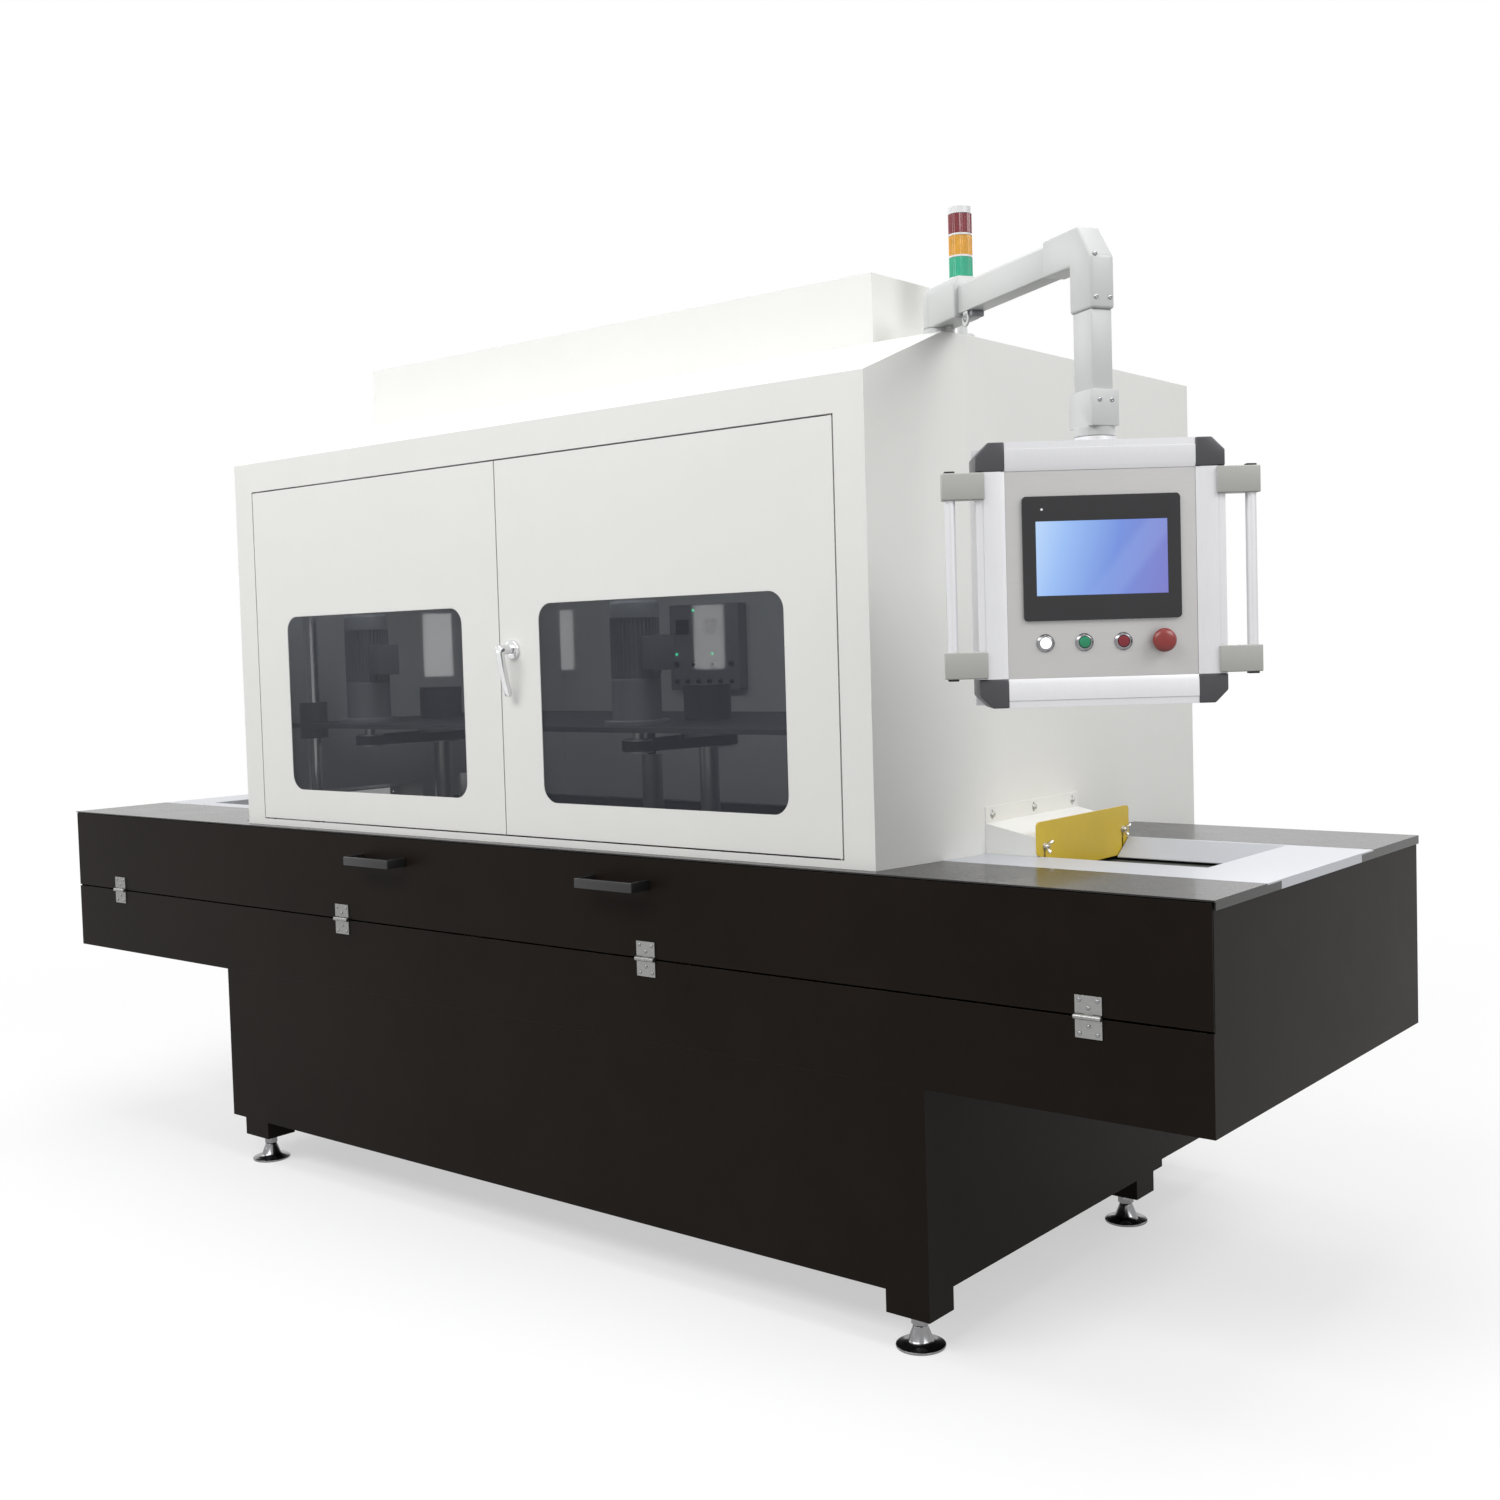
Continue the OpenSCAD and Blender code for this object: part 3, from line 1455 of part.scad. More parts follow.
module screen_bezel() {
    hw = screen_unit_w / 2;
    hh = screen_unit_h / 2;
    rear = seat_gap + rear_unit_in;
    color([0.1, 0.1, 0.11]) at_panel() difference() {
        union() {
            translate([0, face_n, unit_z]) rotate([90, 0, 0]) linear_extrude(height = bezel_t)
                rounded_outline(-hw, hw, -hh, hh, bezel_r);
            part_block(rear - hw, hw - rear, face_n, face_n + rear_unit_d,
                unit_z + rear - hh, unit_z + hh - rear);
        }
        part_block(-glass_w / 2 - seat_gap, glass_w / 2 + seat_gap,
            face_n - bezel_t - over, face_n - bezel_t + glass_t,
            unit_z - glass_h / 2 - seat_gap, unit_z + glass_h / 2 + seat_gap);
    }
}

module screen_glass() {
    color([0.45, 0.6, 0.9]) at_panel()
        part_block(-glass_w / 2, glass_w / 2, face_n - bezel_t, face_n - bezel_t + glass_t,
            unit_z - glass_h / 2, unit_z + glass_h / 2);
}

module button_bezels() {
    color(steel) at_panel() for (i = [0:3]) difference() {
        union() {
            face_disc(button_xs[i], 0, ring_t, ring_r);
            face_disc(button_xs[i], -sleeve_l, 0, sleeve_r);
        }
        face_disc(button_xs[i], -sleeve_l - over, ring_t + over,
            (i < 3 ? cap_r : stop_stem_r) + run_gap);
    }
}

module push_button(i, tint) {
    color(tint) at_panel() face_disc(button_xs[i], ring_t + cap_proud - cap_h,
        ring_t + cap_proud, cap_r);
}

module white_button() push_button(0, [0.95, 0.95, 0.95]);

module green_button() push_button(1, [0.1, 0.55, 0.35]);

module red_button() push_button(2, [0.5, 0.1, 0.12]);

module stop_button() {
    color([0.72, 0.25, 0.22]) at_panel() {
        face_disc(button_xs[3], -sleeve_l / 2, ring_t + stop_gap, stop_stem_r);
        translate([button_xs[3], face_n - ring_t - stop_gap, button_z]) rotate([90, 0, 0]) {
            cylinder(r = stop_r, h = stop_h / 2);
            translate([0, 0, stop_h / 2])
                cylinder(r1 = stop_r, r2 = stop_r * 3 / 4, h = stop_h / 2);
        }
    }
}

// L-shaped brackets that carry the handle rods beside the panel
module grip_brackets() {
    hw = panel_w / 2;
    y0 = front_n - grip_lip;
    tops = [panel_top_z - grip_top, panel_z0 + grip_low + grip_h];
    color([0.66, 0.66, 0.64]) at_panel() for (s = [-1, 1], z = tops)
        translate([0, 0, z - grip_h]) linear_extrude(height = grip_h)
            polygon([[s * (hw - grip_tongue), y0], [s * grip_reach, y0],
                [s * grip_reach, y0 + grip_t], [s * (hw + seat_gap), y0 + grip_t],
                [s * (hw + seat_gap), front_n], [s * (hw - grip_tongue), front_n]]);
}

module grip_rods() {
    z0 = panel_z0 + grip_low + grip_h;
    z1 = panel_top_z - grip_top - grip_h;
    color([0.82, 0.83, 0.84]) at_panel() for (s = [-1, 1])
        translate([s * (grip_reach - grip_inset), front_n - grip_lip + grip_t / 2, z0])
            cylinder(r = grip_r, h = z1 - z0);
}

base_cabinet();
levelling_feet();
rear_cabinet();
table_box();
table_top();
feed_plate();
exit_plate();
feed_hood();
exit_hood();
hood_screws();
housing();
roof_box();
fixed_hinge_leaves();
belt_bed();
bearing_blocks();
belt_gearmotor();
conveyor_belt();
guide_columns();
lift_cylinders();
door_pivots();
light_body();
light_lenses();
swivel_base();
rear_fittings();
feed_guard();
left_door();
right_door();
left_window();
right_window();
lever_base();
door_lever();
latch_cam();
front_flap();
flap_handles();
flap_hinge_leaves();
drive_roller();
idler_roller();
head_frame();
spindle_motors();
timing_belts();
left_pulley();
right_pulley();
left_spindle();
right_spindle();
swivel_head();
arm_tubes();
arm_elbow();
panel_coupling();
panel_frame();
panel_corners();
panel_face();
screen_bezel();
screen_glass();
button_bezels();
white_button();
green_button();
red_button();
stop_button();
grip_brackets();
grip_rods();
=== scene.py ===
import math

import bmesh
import bpy
from mathutils import Matrix, Vector


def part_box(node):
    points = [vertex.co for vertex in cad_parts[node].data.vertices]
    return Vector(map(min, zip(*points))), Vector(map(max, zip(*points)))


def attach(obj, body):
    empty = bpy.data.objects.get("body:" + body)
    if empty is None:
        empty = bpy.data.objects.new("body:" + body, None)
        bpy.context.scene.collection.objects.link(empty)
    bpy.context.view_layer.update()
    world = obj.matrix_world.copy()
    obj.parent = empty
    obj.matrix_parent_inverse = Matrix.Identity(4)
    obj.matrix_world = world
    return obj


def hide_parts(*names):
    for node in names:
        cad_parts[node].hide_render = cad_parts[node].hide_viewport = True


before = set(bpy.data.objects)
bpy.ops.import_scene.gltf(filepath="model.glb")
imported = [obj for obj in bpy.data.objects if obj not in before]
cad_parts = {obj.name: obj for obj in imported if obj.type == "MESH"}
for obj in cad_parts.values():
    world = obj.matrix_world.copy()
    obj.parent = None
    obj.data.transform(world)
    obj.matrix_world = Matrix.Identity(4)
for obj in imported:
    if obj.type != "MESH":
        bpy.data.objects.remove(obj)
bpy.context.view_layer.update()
print("frame loaded")


class Signal:
    # wraps one output socket so that shader maths reads as plain sums
    def __init__(self, sheet, socket):
        self.sheet = sheet
        self.socket = socket

    def maths(self, operation, first, second):
        return self.sheet.add("ShaderNodeMath", {"operation": operation}, {0: first, 1: second})

    def __add__(self, other):
        return self.maths("ADD", self, other)

    def __sub__(self, other):
        return self.maths("SUBTRACT", self, other)

    def __rsub__(self, other):
        return self.maths("SUBTRACT", other, self)

    def __mul__(self, other):
        return self.maths("MULTIPLY", self, other)

    __radd__ = __add__
    __rmul__ = __mul__


class Sheet:
    # the node tree of one material
    def __init__(self, name):
        self.material = bpy.data.materials.new(name)
        self.material.use_nodes = True
        self.tree = self.material.node_tree
        self.tree.nodes.clear()
        self.place = self.add("ShaderNodeTexCoord", output="Object")

    def add(self, kind, settings=None, inputs=None, output=0):
        node = self.tree.nodes.new(kind)
        for key, value in (settings or {}).items():
            if key == "stops":
                ramp = node.color_ramp
                while len(ramp.elements) < len(value):
                    ramp.elements.new(0.5)
                for element, (position, color) in zip(ramp.elements, value):
                    element.position = position
                    element.color = color if len(color) == 4 else (*color, 1)
            else:
                setattr(node, key, value)
        for key, value in (inputs or {}).items():
            socket = node.inputs[key]
            if isinstance(value, Signal):
                self.tree.links.new(value.socket, socket)
            elif socket.type == "RGBA" and len(value) == 3:
                socket.default_value = (*value, 1)
            else:
                socket.default_value = value
        return Signal(self, node.outputs[output]) if node.outputs else None

    def scaled(self, x, y, z, turn=(0, 0, 0)):
        return self.add("ShaderNodeMapping", {}, {"Vector": self.place, "Scale": (x, y, z), "Rotation": turn})

    def noise(self, scale, detail=3.0, vector=None, rough=0.5):
        return self.add("ShaderNodeTexNoise", {}, {
            "Vector": vector or self.place, "Scale": scale, "Detail": detail, "Roughness": rough})

    def ramp(self, factor, *stops):
        return self.add("ShaderNodeValToRGB", {"stops": [(at, (v, v, v)) for at, v in stops]}, {0: factor})

    def blend(self, factor, first, second):
        return self.add("ShaderNodeMix", {"data_type": "RGBA"}, {0: factor, 6: first, 7: second}, output=2)

    def rounded(self, radius, samples=4):
        return self.add("ShaderNodeBevel", {"samples": samples}, {"Radius": radius})

    def edges(self, radius):
        # 1 on sharp edges and 0 on flats, from how far the rounded normal leans away
        flat = self.add("ShaderNodeNewGeometry", output="Normal")
        lean = self.add("ShaderNodeVectorMath", {"operation": "DOT_PRODUCT"},
                        {0: self.rounded(radius), 1: flat}, output="Value")
        return self.ramp(1 - lean, (0.0, 0), (0.25, 1))

    def bump(self, height, distance, strength=1.0, normal=None):
        inputs = {"Height": height, "Distance": distance, "Strength": strength}
        if normal is not None:
            inputs["Normal"] = normal
        return self.add("ShaderNodeBump", {}, inputs)

    def surface(self, **inputs):
        # BaseColor names the socket Base Color, and so on
        sockets = {}
        for key, value in inputs.items():
            spaced = key[0] + "".join(" " + c if c.isupper() else c for c in key[1:])
            sockets[spaced.replace("I O R", "IOR")] = value
        shader = self.add("ShaderNodeBsdfPrincipled", {}, sockets)
        self.add("ShaderNodeOutputMaterial", {}, {"Surface": shader})
        return self.material


def powderCoat(name, color, shade, rough, grain, edge=0.0012, wear=None, coat=0.0, gloss=0.5):
    # sprayed and baked paint: fine orange peel, faint clouding and rounded folds
    s = Sheet(name)
    cloud = s.noise(1.7, 3.0)
    dust = s.noise(9.0, 5.0, rough=0.65)
    tint = s.blend(s.ramp(cloud * 0.6 + dust * 0.4, (0.35, 0), (0.68, 1)), shade, color)
    if wear is not None:
        scuffs = s.ramp(s.noise(70.0, 4.0), (0.48, 0), (0.62, 1))
        tint = s.blend(s.edges(0.0016) * scuffs, tint, wear)
    peel = s.noise(grain, 2.0)
    fine = s.noise(grain * 4.5, 1.0)
    normal = s.bump(peel * 0.7 + fine * 0.3, 0.00006, 0.8, s.rounded(edge))
    return s.surface(BaseColor=tint, Roughness=rough + 0.1 * (dust - 0.5), Normal=normal,
                     CoatWeight=coat, CoatRoughness=0.08, SpecularIORLevel=gloss)


def brushedMetal(name, color, rough, grain=(40, 600, 600), edge=0.0006):
    # drawn steel: fine streaks along one axis
    s = Sheet(name)
    streaks = s.noise(1.0, 4.0, s.scaled(*grain))
    smudge = s.noise(6.0, 3.0)
    dark = tuple(c * 0.82 for c in color)
    tint = s.blend(s.ramp(streaks * 0.7 + smudge * 0.3, (0.3, 0), (0.7, 1)), dark, color)
    normal = s.bump(streaks, 0.00003, 0.6, s.rounded(edge))
    return s.surface(BaseColor=tint, Metallic=1.0, Roughness=rough + 0.14 * (streaks - 0.4), Normal=normal)


def satinAlu(name, color, rough, grain):
    # clear anodised aluminium: a pale satin skin with a very faint drawn grain
    s = Sheet(name)
    lines = s.noise(1.0, 3.0, s.scaled(*grain))
    cloud = s.noise(4.0, 2.0)
    dark = tuple(c * 0.95 for c in color)
    tint = s.blend(s.ramp(lines * 0.6 + cloud * 0.4, (0.3, 0), (0.7, 1)), dark, color)
    normal = s.bump(lines, 0.00001, 0.5, s.rounded(0.0006))
    return s.surface(BaseColor=tint, Metallic=0.55 + 0.1 * cloud, Roughness=rough + 0.06 * (lines - 0.4),
                     Normal=normal)


def polishedMetal(name, color, rough):
    # plated metal with faint smudges
    s = Sheet(name)
    smudge = s.noise(25.0, 4.0)
    tint = s.blend(s.ramp(smudge, (0.3, 0), (0.7, 1)), tuple(c * 0.9 for c in color), color)
    normal = s.bump(s.noise(160.0, 2.0), 0.00001, 0.5, s.rounded(0.0008))
    return s.surface(BaseColor=tint, Metallic=1.0, Roughness=rough + 0.08 * (smudge - 0.4), Normal=normal)


def mouldedPlastic(name, color, rough, grain=900.0, edge=0.0008):
    # plastic or rubber with a fine mould grain
    s = Sheet(name)
    cloud = s.noise(18.0, 3.0)
    tint = s.blend(s.ramp(cloud, (0.35, 0), (0.65, 1)), tuple(c * 0.88 for c in color), color)
    normal = s.bump(s.noise(grain, 2.0), 0.00003, 0.7, s.rounded(edge))
    return s.surface(BaseColor=tint, Roughness=rough + 0.08 * (cloud - 0.5), Normal=normal)


whitePaint = powderCoat("white powder coat", (0.80, 0.80, 0.775), (0.775, 0.775, 0.75), 0.42, 320.0)
platePaint = powderCoat("blue-white plate coat", (0.50, 0.515, 0.55), (0.475, 0.49, 0.525), 0.34, 320.0)
blackPaint = powderCoat("black satin coat", (0.0135, 0.0098, 0.0078), (0.0095, 0.0068, 0.0054), 0.38, 260.0,
                        wear=(0.03, 0.027, 0.025), gloss=0.05)
deckPaint = powderCoat("black deck coat", (0.02, 0.0185, 0.0175), (0.015, 0.014, 0.0135), 0.27, 260.0,
                       wear=(0.035, 0.032, 0.03), coat=0.3, gloss=0.15)
yellowPaint = powderCoat("yellow guard paint", (0.70, 0.50, 0.03), (0.60, 0.42, 0.025), 0.38, 320.0)
motorPaint = powderCoat("motor enamel", (0.24, 0.25, 0.27), (0.19, 0.2, 0.215), 0.34, 260.0)
headPaint = powderCoat("dark frame enamel", (0.05, 0.055, 0.06), (0.04, 0.044, 0.048), 0.45, 260.0)
armCoat = powderCoat("pale arm coat", (0.55, 0.562, 0.556), (0.52, 0.532, 0.526), 0.36, 380.0)
cornerCoat = powderCoat("dark corner coat", (0.062, 0.062, 0.07), (0.045, 0.045, 0.052), 0.36, 420.0,
                        wear=(0.16, 0.16, 0.17))
bracketCoat = powderCoat("bracket coat", (0.42, 0.42, 0.40), (0.39, 0.39, 0.37), 0.4, 420.0)
bearingPaint = powderCoat("bearing enamel", (0.06, 0.1, 0.09), (0.045, 0.08, 0.07), 0.42, 200.0)
steel = brushedMetal("brushed steel", (0.56, 0.56, 0.55), 0.3)
hingeSteel = brushedMetal("dull hinge steel", (0.31, 0.31, 0.30), 0.36, grain=(90, 300, 300))
darkChrome = polishedMetal("shaded chrome", (0.27, 0.27, 0.28), 0.2)
frameAlu = satinAlu("satin aluminium", (0.68, 0.68, 0.70), 0.42, grain=(500, 500, 25))
faceAlu = satinAlu("face sheet", (0.49, 0.485, 0.48), 0.46, grain=(25, 25, 600))
chrome = polishedMetal("bright chrome", (0.78, 0.78, 0.79), 0.12)
blackPlastic = mouldedPlastic("black plastic", (0.011, 0.011, 0.012), 0.4)
palePlastic = mouldedPlastic("pale plastic", (0.72, 0.73, 0.73), 0.35)
whiteButton = mouldedPlastic("white button", (0.85, 0.87, 0.9), 0.2)
greenButton = mouldedPlastic("green button", (0.01, 0.26, 0.12), 0.25)
redButton = mouldedPlastic("red button", (0.2, 0.01, 0.02), 0.25)
stopRed = mouldedPlastic("stop red", (0.25, 0.03, 0.026), 0.32)
rubber = mouldedPlastic("black rubber", (0.02, 0.021, 0.022), 0.6, 300.0)
glossBlack = mouldedPlastic("gloss black plastic", (0.012, 0.012, 0.014), 0.16)
cowlPaint = powderCoat("motor cowl enamel", (0.30, 0.31, 0.32), (0.26, 0.27, 0.28), 0.35, 260.0)
footChrome = polishedMetal("foot chrome", (0.26, 0.26, 0.265), 0.2)
bristles = mouldedPlastic("abrasive bristles", (0.16, 0.07, 0.035), 0.75, 700.0)


def litPlastic(name, color, glow, strength):
    # a cap lit from behind, brightest in the middle of its cloud
    s = Sheet(name)
    cloud = s.noise(40.0, 2.0)
    light = s.blend(s.ramp(cloud, (0.3, 0), (0.7, 1)), tuple(c * 0.85 for c in glow), glow)
    return s.surface(BaseColor=color, Roughness=0.25 + 0.05 * cloud, EmissionColor=light,
                     EmissionStrength=strength)


litWhite = litPlastic("lit white cap", (0.9, 0.92, 0.95), (1.0, 1.0, 1.0), 0.9)
litGreen = litPlastic("lit green lamp", (0.02, 0.4, 0.2), (0.05, 0.9, 0.45), 1.2)


def beltRubber():
    # woven-backed rubber with a fine cross rib
    s = Sheet("belt rubber")
    ribs = s.add("ShaderNodeTexWave", {"wave_type": "BANDS", "bands_direction": "X"},
                 {"Vector": s.place, "Scale": 60.0, "Distortion": 0.4})
    dust = s.noise(14.0, 5.0)
    tint = s.blend(s.ramp(dust, (0.4, 0), (0.75, 1)), (0.028, 0.034, 0.03), (0.06, 0.066, 0.062))
    normal = s.bump(ribs * 0.7 + s.noise(500.0, 2.0) * 0.3, 0.0004, 0.6)
    return s.surface(BaseColor=tint, Roughness=0.55 + 0.2 * (dust - 0.5), Normal=normal)


def tintedPane():
    # smoked pane that lets a third of the inside show
    s = Sheet("tinted pane")
    film = s.noise(2.5, 3.0)
    streak = s.noise(1.0, 3.0, s.scaled(30, 1, 2))
    tint = s.blend(s.ramp(film, (0.35, 0), (0.7, 1)), (0.014, 0.016, 0.028), (0.026, 0.029, 0.048))
    normal = s.bump(s.noise(3.0, 2.0), 0.0002, 0.1)
    return s.surface(BaseColor=tint, Roughness=0.01 + 0.02 * streak, Normal=normal,
                     Alpha=0.34 + 0.06 * (film - 0.5))


def litScreen():
    # a plain lit start page: blue field, pale light from the upper right
    s = Sheet("lit screen")
    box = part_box("screen_glass")
    glow = s.noise(6.0, 2.0)
    split = s.add("ShaderNodeSeparateXYZ", {}, {0: s.place}, output="Z")
    across = s.add("ShaderNodeSeparateXYZ", {}, {0: s.place}, output="X")
    high = (split - box[0][2]) * (1 / (box[1][2] - box[0][2]))
    wide = (across - box[0][0]) * (1 / (box[1][0] - box[0][0]))
    field = s.add("ShaderNodeValToRGB", {"stops": [
        (0.0, (0.55, 0.74, 0.98)), (0.25, (0.32, 0.52, 0.92)), (0.6, (0.16, 0.27, 0.72)),
        (1.0, (0.19, 0.18, 0.56))]},
        {0: wide * 0.85 + (1 - high) * 0.12 + glow * 0.08})
    ray = s.ramp(wide - high * 0.45, (0.36, 0), (0.44, 1), (0.60, 1), (0.68, 0))
    field = s.blend(ray * 0.16, field, (0.42, 0.55, 0.92))
    return s.surface(BaseColor=(0.02, 0.03, 0.06), Roughness=0.12 + 0.02 * glow, EmissionColor=field,
                     EmissionStrength=0.9)


belt = beltRubber()
paneTint = tintedPane()
screen = litScreen()


def lensPlastic(name, color):
    s = Sheet(name)
    cloud = s.noise(60.0, 2.0)
    tint = s.blend(s.ramp(cloud, (0.3, 0), (0.7, 1)), tuple(c * 0.8 for c in color), color)
    return s.surface(BaseColor=tint, Roughness=0.14 + 0.06 * cloud, Normal=s.rounded(0.0006),
                     CoatWeight=0.4)


lensColors = [lensPlastic("green lens", (0.01, 0.42, 0.24)), lensPlastic("amber lens", (0.72, 0.34, 0.015)),
              lensPlastic("red lens", (0.2, 0.004, 0.014))]
print("materials made")

coats = {
    whitePaint: ["feed_hood", "exit_hood", "housing", "roof_box", "rear_fittings", "left_door", "right_door"],
    platePaint: ["feed_plate", "exit_plate"],
    blackPaint: ["base_cabinet", "rear_cabinet", "table_box", "front_flap"],
    deckPaint: ["table_top"],
    yellowPaint: ["feed_guard"],
    motorPaint: ["spindle_motors", "belt_gearmotor"],
    armCoat: ["swivel_base", "swivel_head", "arm_tubes", "arm_elbow", "panel_coupling"],
    cornerCoat: ["panel_corners"],
    bracketCoat: ["grip_brackets"],
    bearingPaint: ["bearing_blocks"],
    hingeSteel: ["fixed_hinge_leaves", "flap_hinge_leaves"],
    headPaint: ["head_frame"],
    steel: ["hood_screws", "belt_bed", "door_pivots", "latch_cam",
            "drive_roller", "idler_roller", "left_pulley", "right_pulley", "left_spindle",
            "right_spindle", "button_bezels", "lift_cylinders"],
    frameAlu: ["panel_frame", "grip_rods"],
    faceAlu: ["panel_face"],
    chrome: ["levelling_feet", "guide_columns", "lever_base", "door_lever"],
    belt: ["conveyor_belt"],
    rubber: ["timing_belts"],
    palePlastic: ["light_body"],
    blackPlastic: ["flap_handles", "screen_bezel"],
    paneTint: ["left_window", "right_window"],
    screen: ["screen_glass"],
    whiteButton: ["white_button"],
    greenButton: ["green_button"],
    redButton: ["red_button"],
    stopRed: ["stop_button"],
    lensColors[2]: ["light_lenses"],
}
for material, names in coats.items():
    for name in names:
        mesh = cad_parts[name].data
        mesh.materials.clear()
        mesh.materials.append(material)
print("finishes put on the frame")

# places in millimetres, and the functions that make pieces

left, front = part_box("table_top")[0][:2]
perMetre = 1000
quarter = math.pi / 2

armPlace = {"pivot": (3007, 291), "turn": -30.0, "length": 585, "underside": 2028}
panelPlace = {"turn": 38.9, "width": 427, "top": 1719, "bottom": 1264, "front": -45, "face": -41}


def spot(x, y, z):
    # from the table's left front corner at floor level
    return Vector((left + x / perMetre, front + y / perMetre, z / perMetre))


def setAt(x, y, z, turn=0.0, axis="X"):
    return Matrix.Translation((x, y, z)) @ Matrix.Rotation(turn, 4, axis)


toMetres = Matrix.Scale(1 / perMetre, 4)
machine = Matrix.Translation(spot(0, 0, 0)) @ toMetres
arm = (Matrix.Translation(spot(*armPlace["pivot"], 0))
       @ Matrix.Rotation(math.radians(armPlace["turn"]), 4, "Z") @ toMetres)
panel = (Matrix.Translation(arm @ Vector((armPlace["length"], 0, 0)))
         @ Matrix.Rotation(math.radians(panelPlace["turn"]), 4, "Z") @ toMetres)


def roundEdges(shape, edges, width, segments=2):
    bmesh.ops.bevel(shape, geom=edges, offset=width, offset_type="OFFSET", segments=segments, profile=0.5,
                    affect="EDGES", clamp_overlap=True, material=-1)


def addBlock(shape, low, high, bevel=0.0):
    low, high = Vector(low), Vector(high)
    size = high - low
    made = bmesh.ops.create_cube(shape, size=1, matrix=Matrix.Translation((low + high) / 2)
                                 @ Matrix.Diagonal((*size, 1)))["verts"]
    if bevel:
        roundEdges(shape, list({edge for vert in made for edge in vert.link_edges}), bevel)
    return made


def moved(shape, place):
    bmesh.ops.transform(shape, matrix=place, verts=shape.verts)
    return shape


def turned(profile, steps=48, place=Matrix.Identity(4)):
    # a profile of (radius, height) points turned round the Z axis
    shape = bmesh.new()
    verts = [shape.verts.new((r, 0, z)) for r, z in profile]
    edges = [shape.edges.new(pair) for pair in zip(verts, verts[1:])]
    bmesh.ops.spin(shape, geom=verts + edges, cent=(0, 0, 0), axis=(0, 0, 1), dvec=(0, 0, 0),
                   angle=2 * math.pi, steps=steps, use_merge=True)
    bmesh.ops.remove_doubles(shape, verts=shape.verts, dist=0.0001)
    return moved(shape, place)


def drawn(points, along, place=Matrix.Identity(4)):
    # a flat outline of 3-D points pulled along one vector
    shape = bmesh.new()
    face = shape.faces.new([shape.verts.new(point) for point in points])
    pulled = bmesh.ops.extrude_face_region(shape, geom=[face])["geom"]
    ends = [item for item in pulled if isinstance(item, bmesh.types.BMVert)]
    bmesh.ops.translate(shape, vec=along, verts=ends)
    return moved(shape, place)


def joined(shapes):
    whole = bmesh.new()
    for shape in shapes:
        part = bpy.data.meshes.new("part")
        shape.to_mesh(part)
        shape.free()
        whole.from_mesh(part)
        bpy.data.meshes.remove(part)
    return whole


def finishPiece(name, shape, material, body, nodes=(), smooth=35, place=None):
    if place is not None:
        moved(shape, place)
    bmesh.ops.recalc_face_normals(shape, faces=shape.faces)
    mesh = bpy.data.meshes.new(name)
    shape.to_mesh(mesh)
    shape.free()
    for one in material if isinstance(material, list) else [material]:
        mesh.materials.append(one)
    mesh.polygons.foreach_set("use_smooth", [True] * len(mesh.polygons))
    mesh.set_sharp_from_angle(angle=math.radians(smooth))
    piece = bpy.data.objects.new(name, mesh)
    bpy.context.scene.collection.objects.link(piece)
    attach(piece, body)
    if nodes:
        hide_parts(*nodes)
    return piece


def roundedCopy(node, width, segments=3, flatAngle=1, sharpAngle=25, weld=0.00001):
    # the CAD solid with its loose triangles merged and its sharp edges rounded
    shape = bmesh.new()
    shape.from_mesh(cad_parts[node].data)
    bmesh.ops.remove_doubles(shape, verts=shape.verts, dist=weld)
    bmesh.ops.dissolve_limit(shape, angle_limit=math.radians(flatAngle), verts=shape.verts, edges=shape.edges)
    sharp = [e for e in shape.edges
             if len(e.link_faces) == 2 and e.calc_face_angle() > math.radians(sharpAngle)]
    roundEdges(shape, sharp, width, segments)
    return shape


print("piece makers ready")

# stack light
stackLight = {"x": 3000, "y": 390, "base": 2141, "lens": 41, "gap": 4, "radius": 24.8, "ribs": 30,
              "pointsPerRib": 4, "ribDepth": 0.55}


def makeLenses():
    # three fluted lenses, stacked green, amber, red
    s = stackLight
    count = s["ribs"] * s["pointsPerRib"]
    lenses = []
    for i in range(len(lensColors)):
        low = s["base"] + i * (s["lens"] + s["gap"])
        rim = []
        for k in range(count):
            angle = 2 * math.pi * k / count
            r = s["radius"] - s["ribDepth"] * (1 - math.cos(angle * s["ribs"]))
            rim.append((s["x"] + r * math.cos(angle), s["y"] + r * math.sin(angle), low))
        lens = drawn(rim, (0, 0, s["lens"]))
        for face in lens.faces:
            face.material_index = i
        lenses.append(lens)
    finishPiece("stack_lenses", joined(lenses), lensColors, "machine", ["light_lenses"],
                place=machine)


# pendant arm: rounding of each casting in metres, screws by their place across and up
armRounding = {"arm_elbow": 0.005, "panel_coupling": 0.005, "swivel_head": 0.004, "arm_tubes": 0.004}
armScrews = {"radius": 4.2, "proud": 1.6, "elbowFace": 36, "elbow": [(-14, 2035), (-14, 1962), (14, 1962)],
             "couplingFace": 37, "coupling": [(-11, 1788), (13, 1788)]}


def screwHead(radius, proud, sunk=0.4):
    # domed head with a round recess, standing on its own Z = 0
    return turned([(0, proud * 0.45), (radius * 0.42, proud * 0.45), (radius * 0.5, proud),
                   (radius * 0.8, proud * 0.85), (radius, proud * 0.3), (radius, -sunk)], steps=18)


def makeArm():
    for node, width in armRounding.items():
        finishPiece(node.replace("_", "-"), roundedCopy(node, width), armCoat, "arm", [node],
                    smooth=50)
    heads = []
    for casting in ("elbow", "coupling"):
        end = armPlace["length"] + armScrews[casting + "Face"]
        for across, z in armScrews[casting]:
            head = screwHead(armScrews["radius"], armScrews["proud"])
            heads.append(moved(head, setAt(end, across, z, quarter, "Y")))
    finishPiece("arm_screws", joined(heads), darkChrome, "arm", (), place=arm)


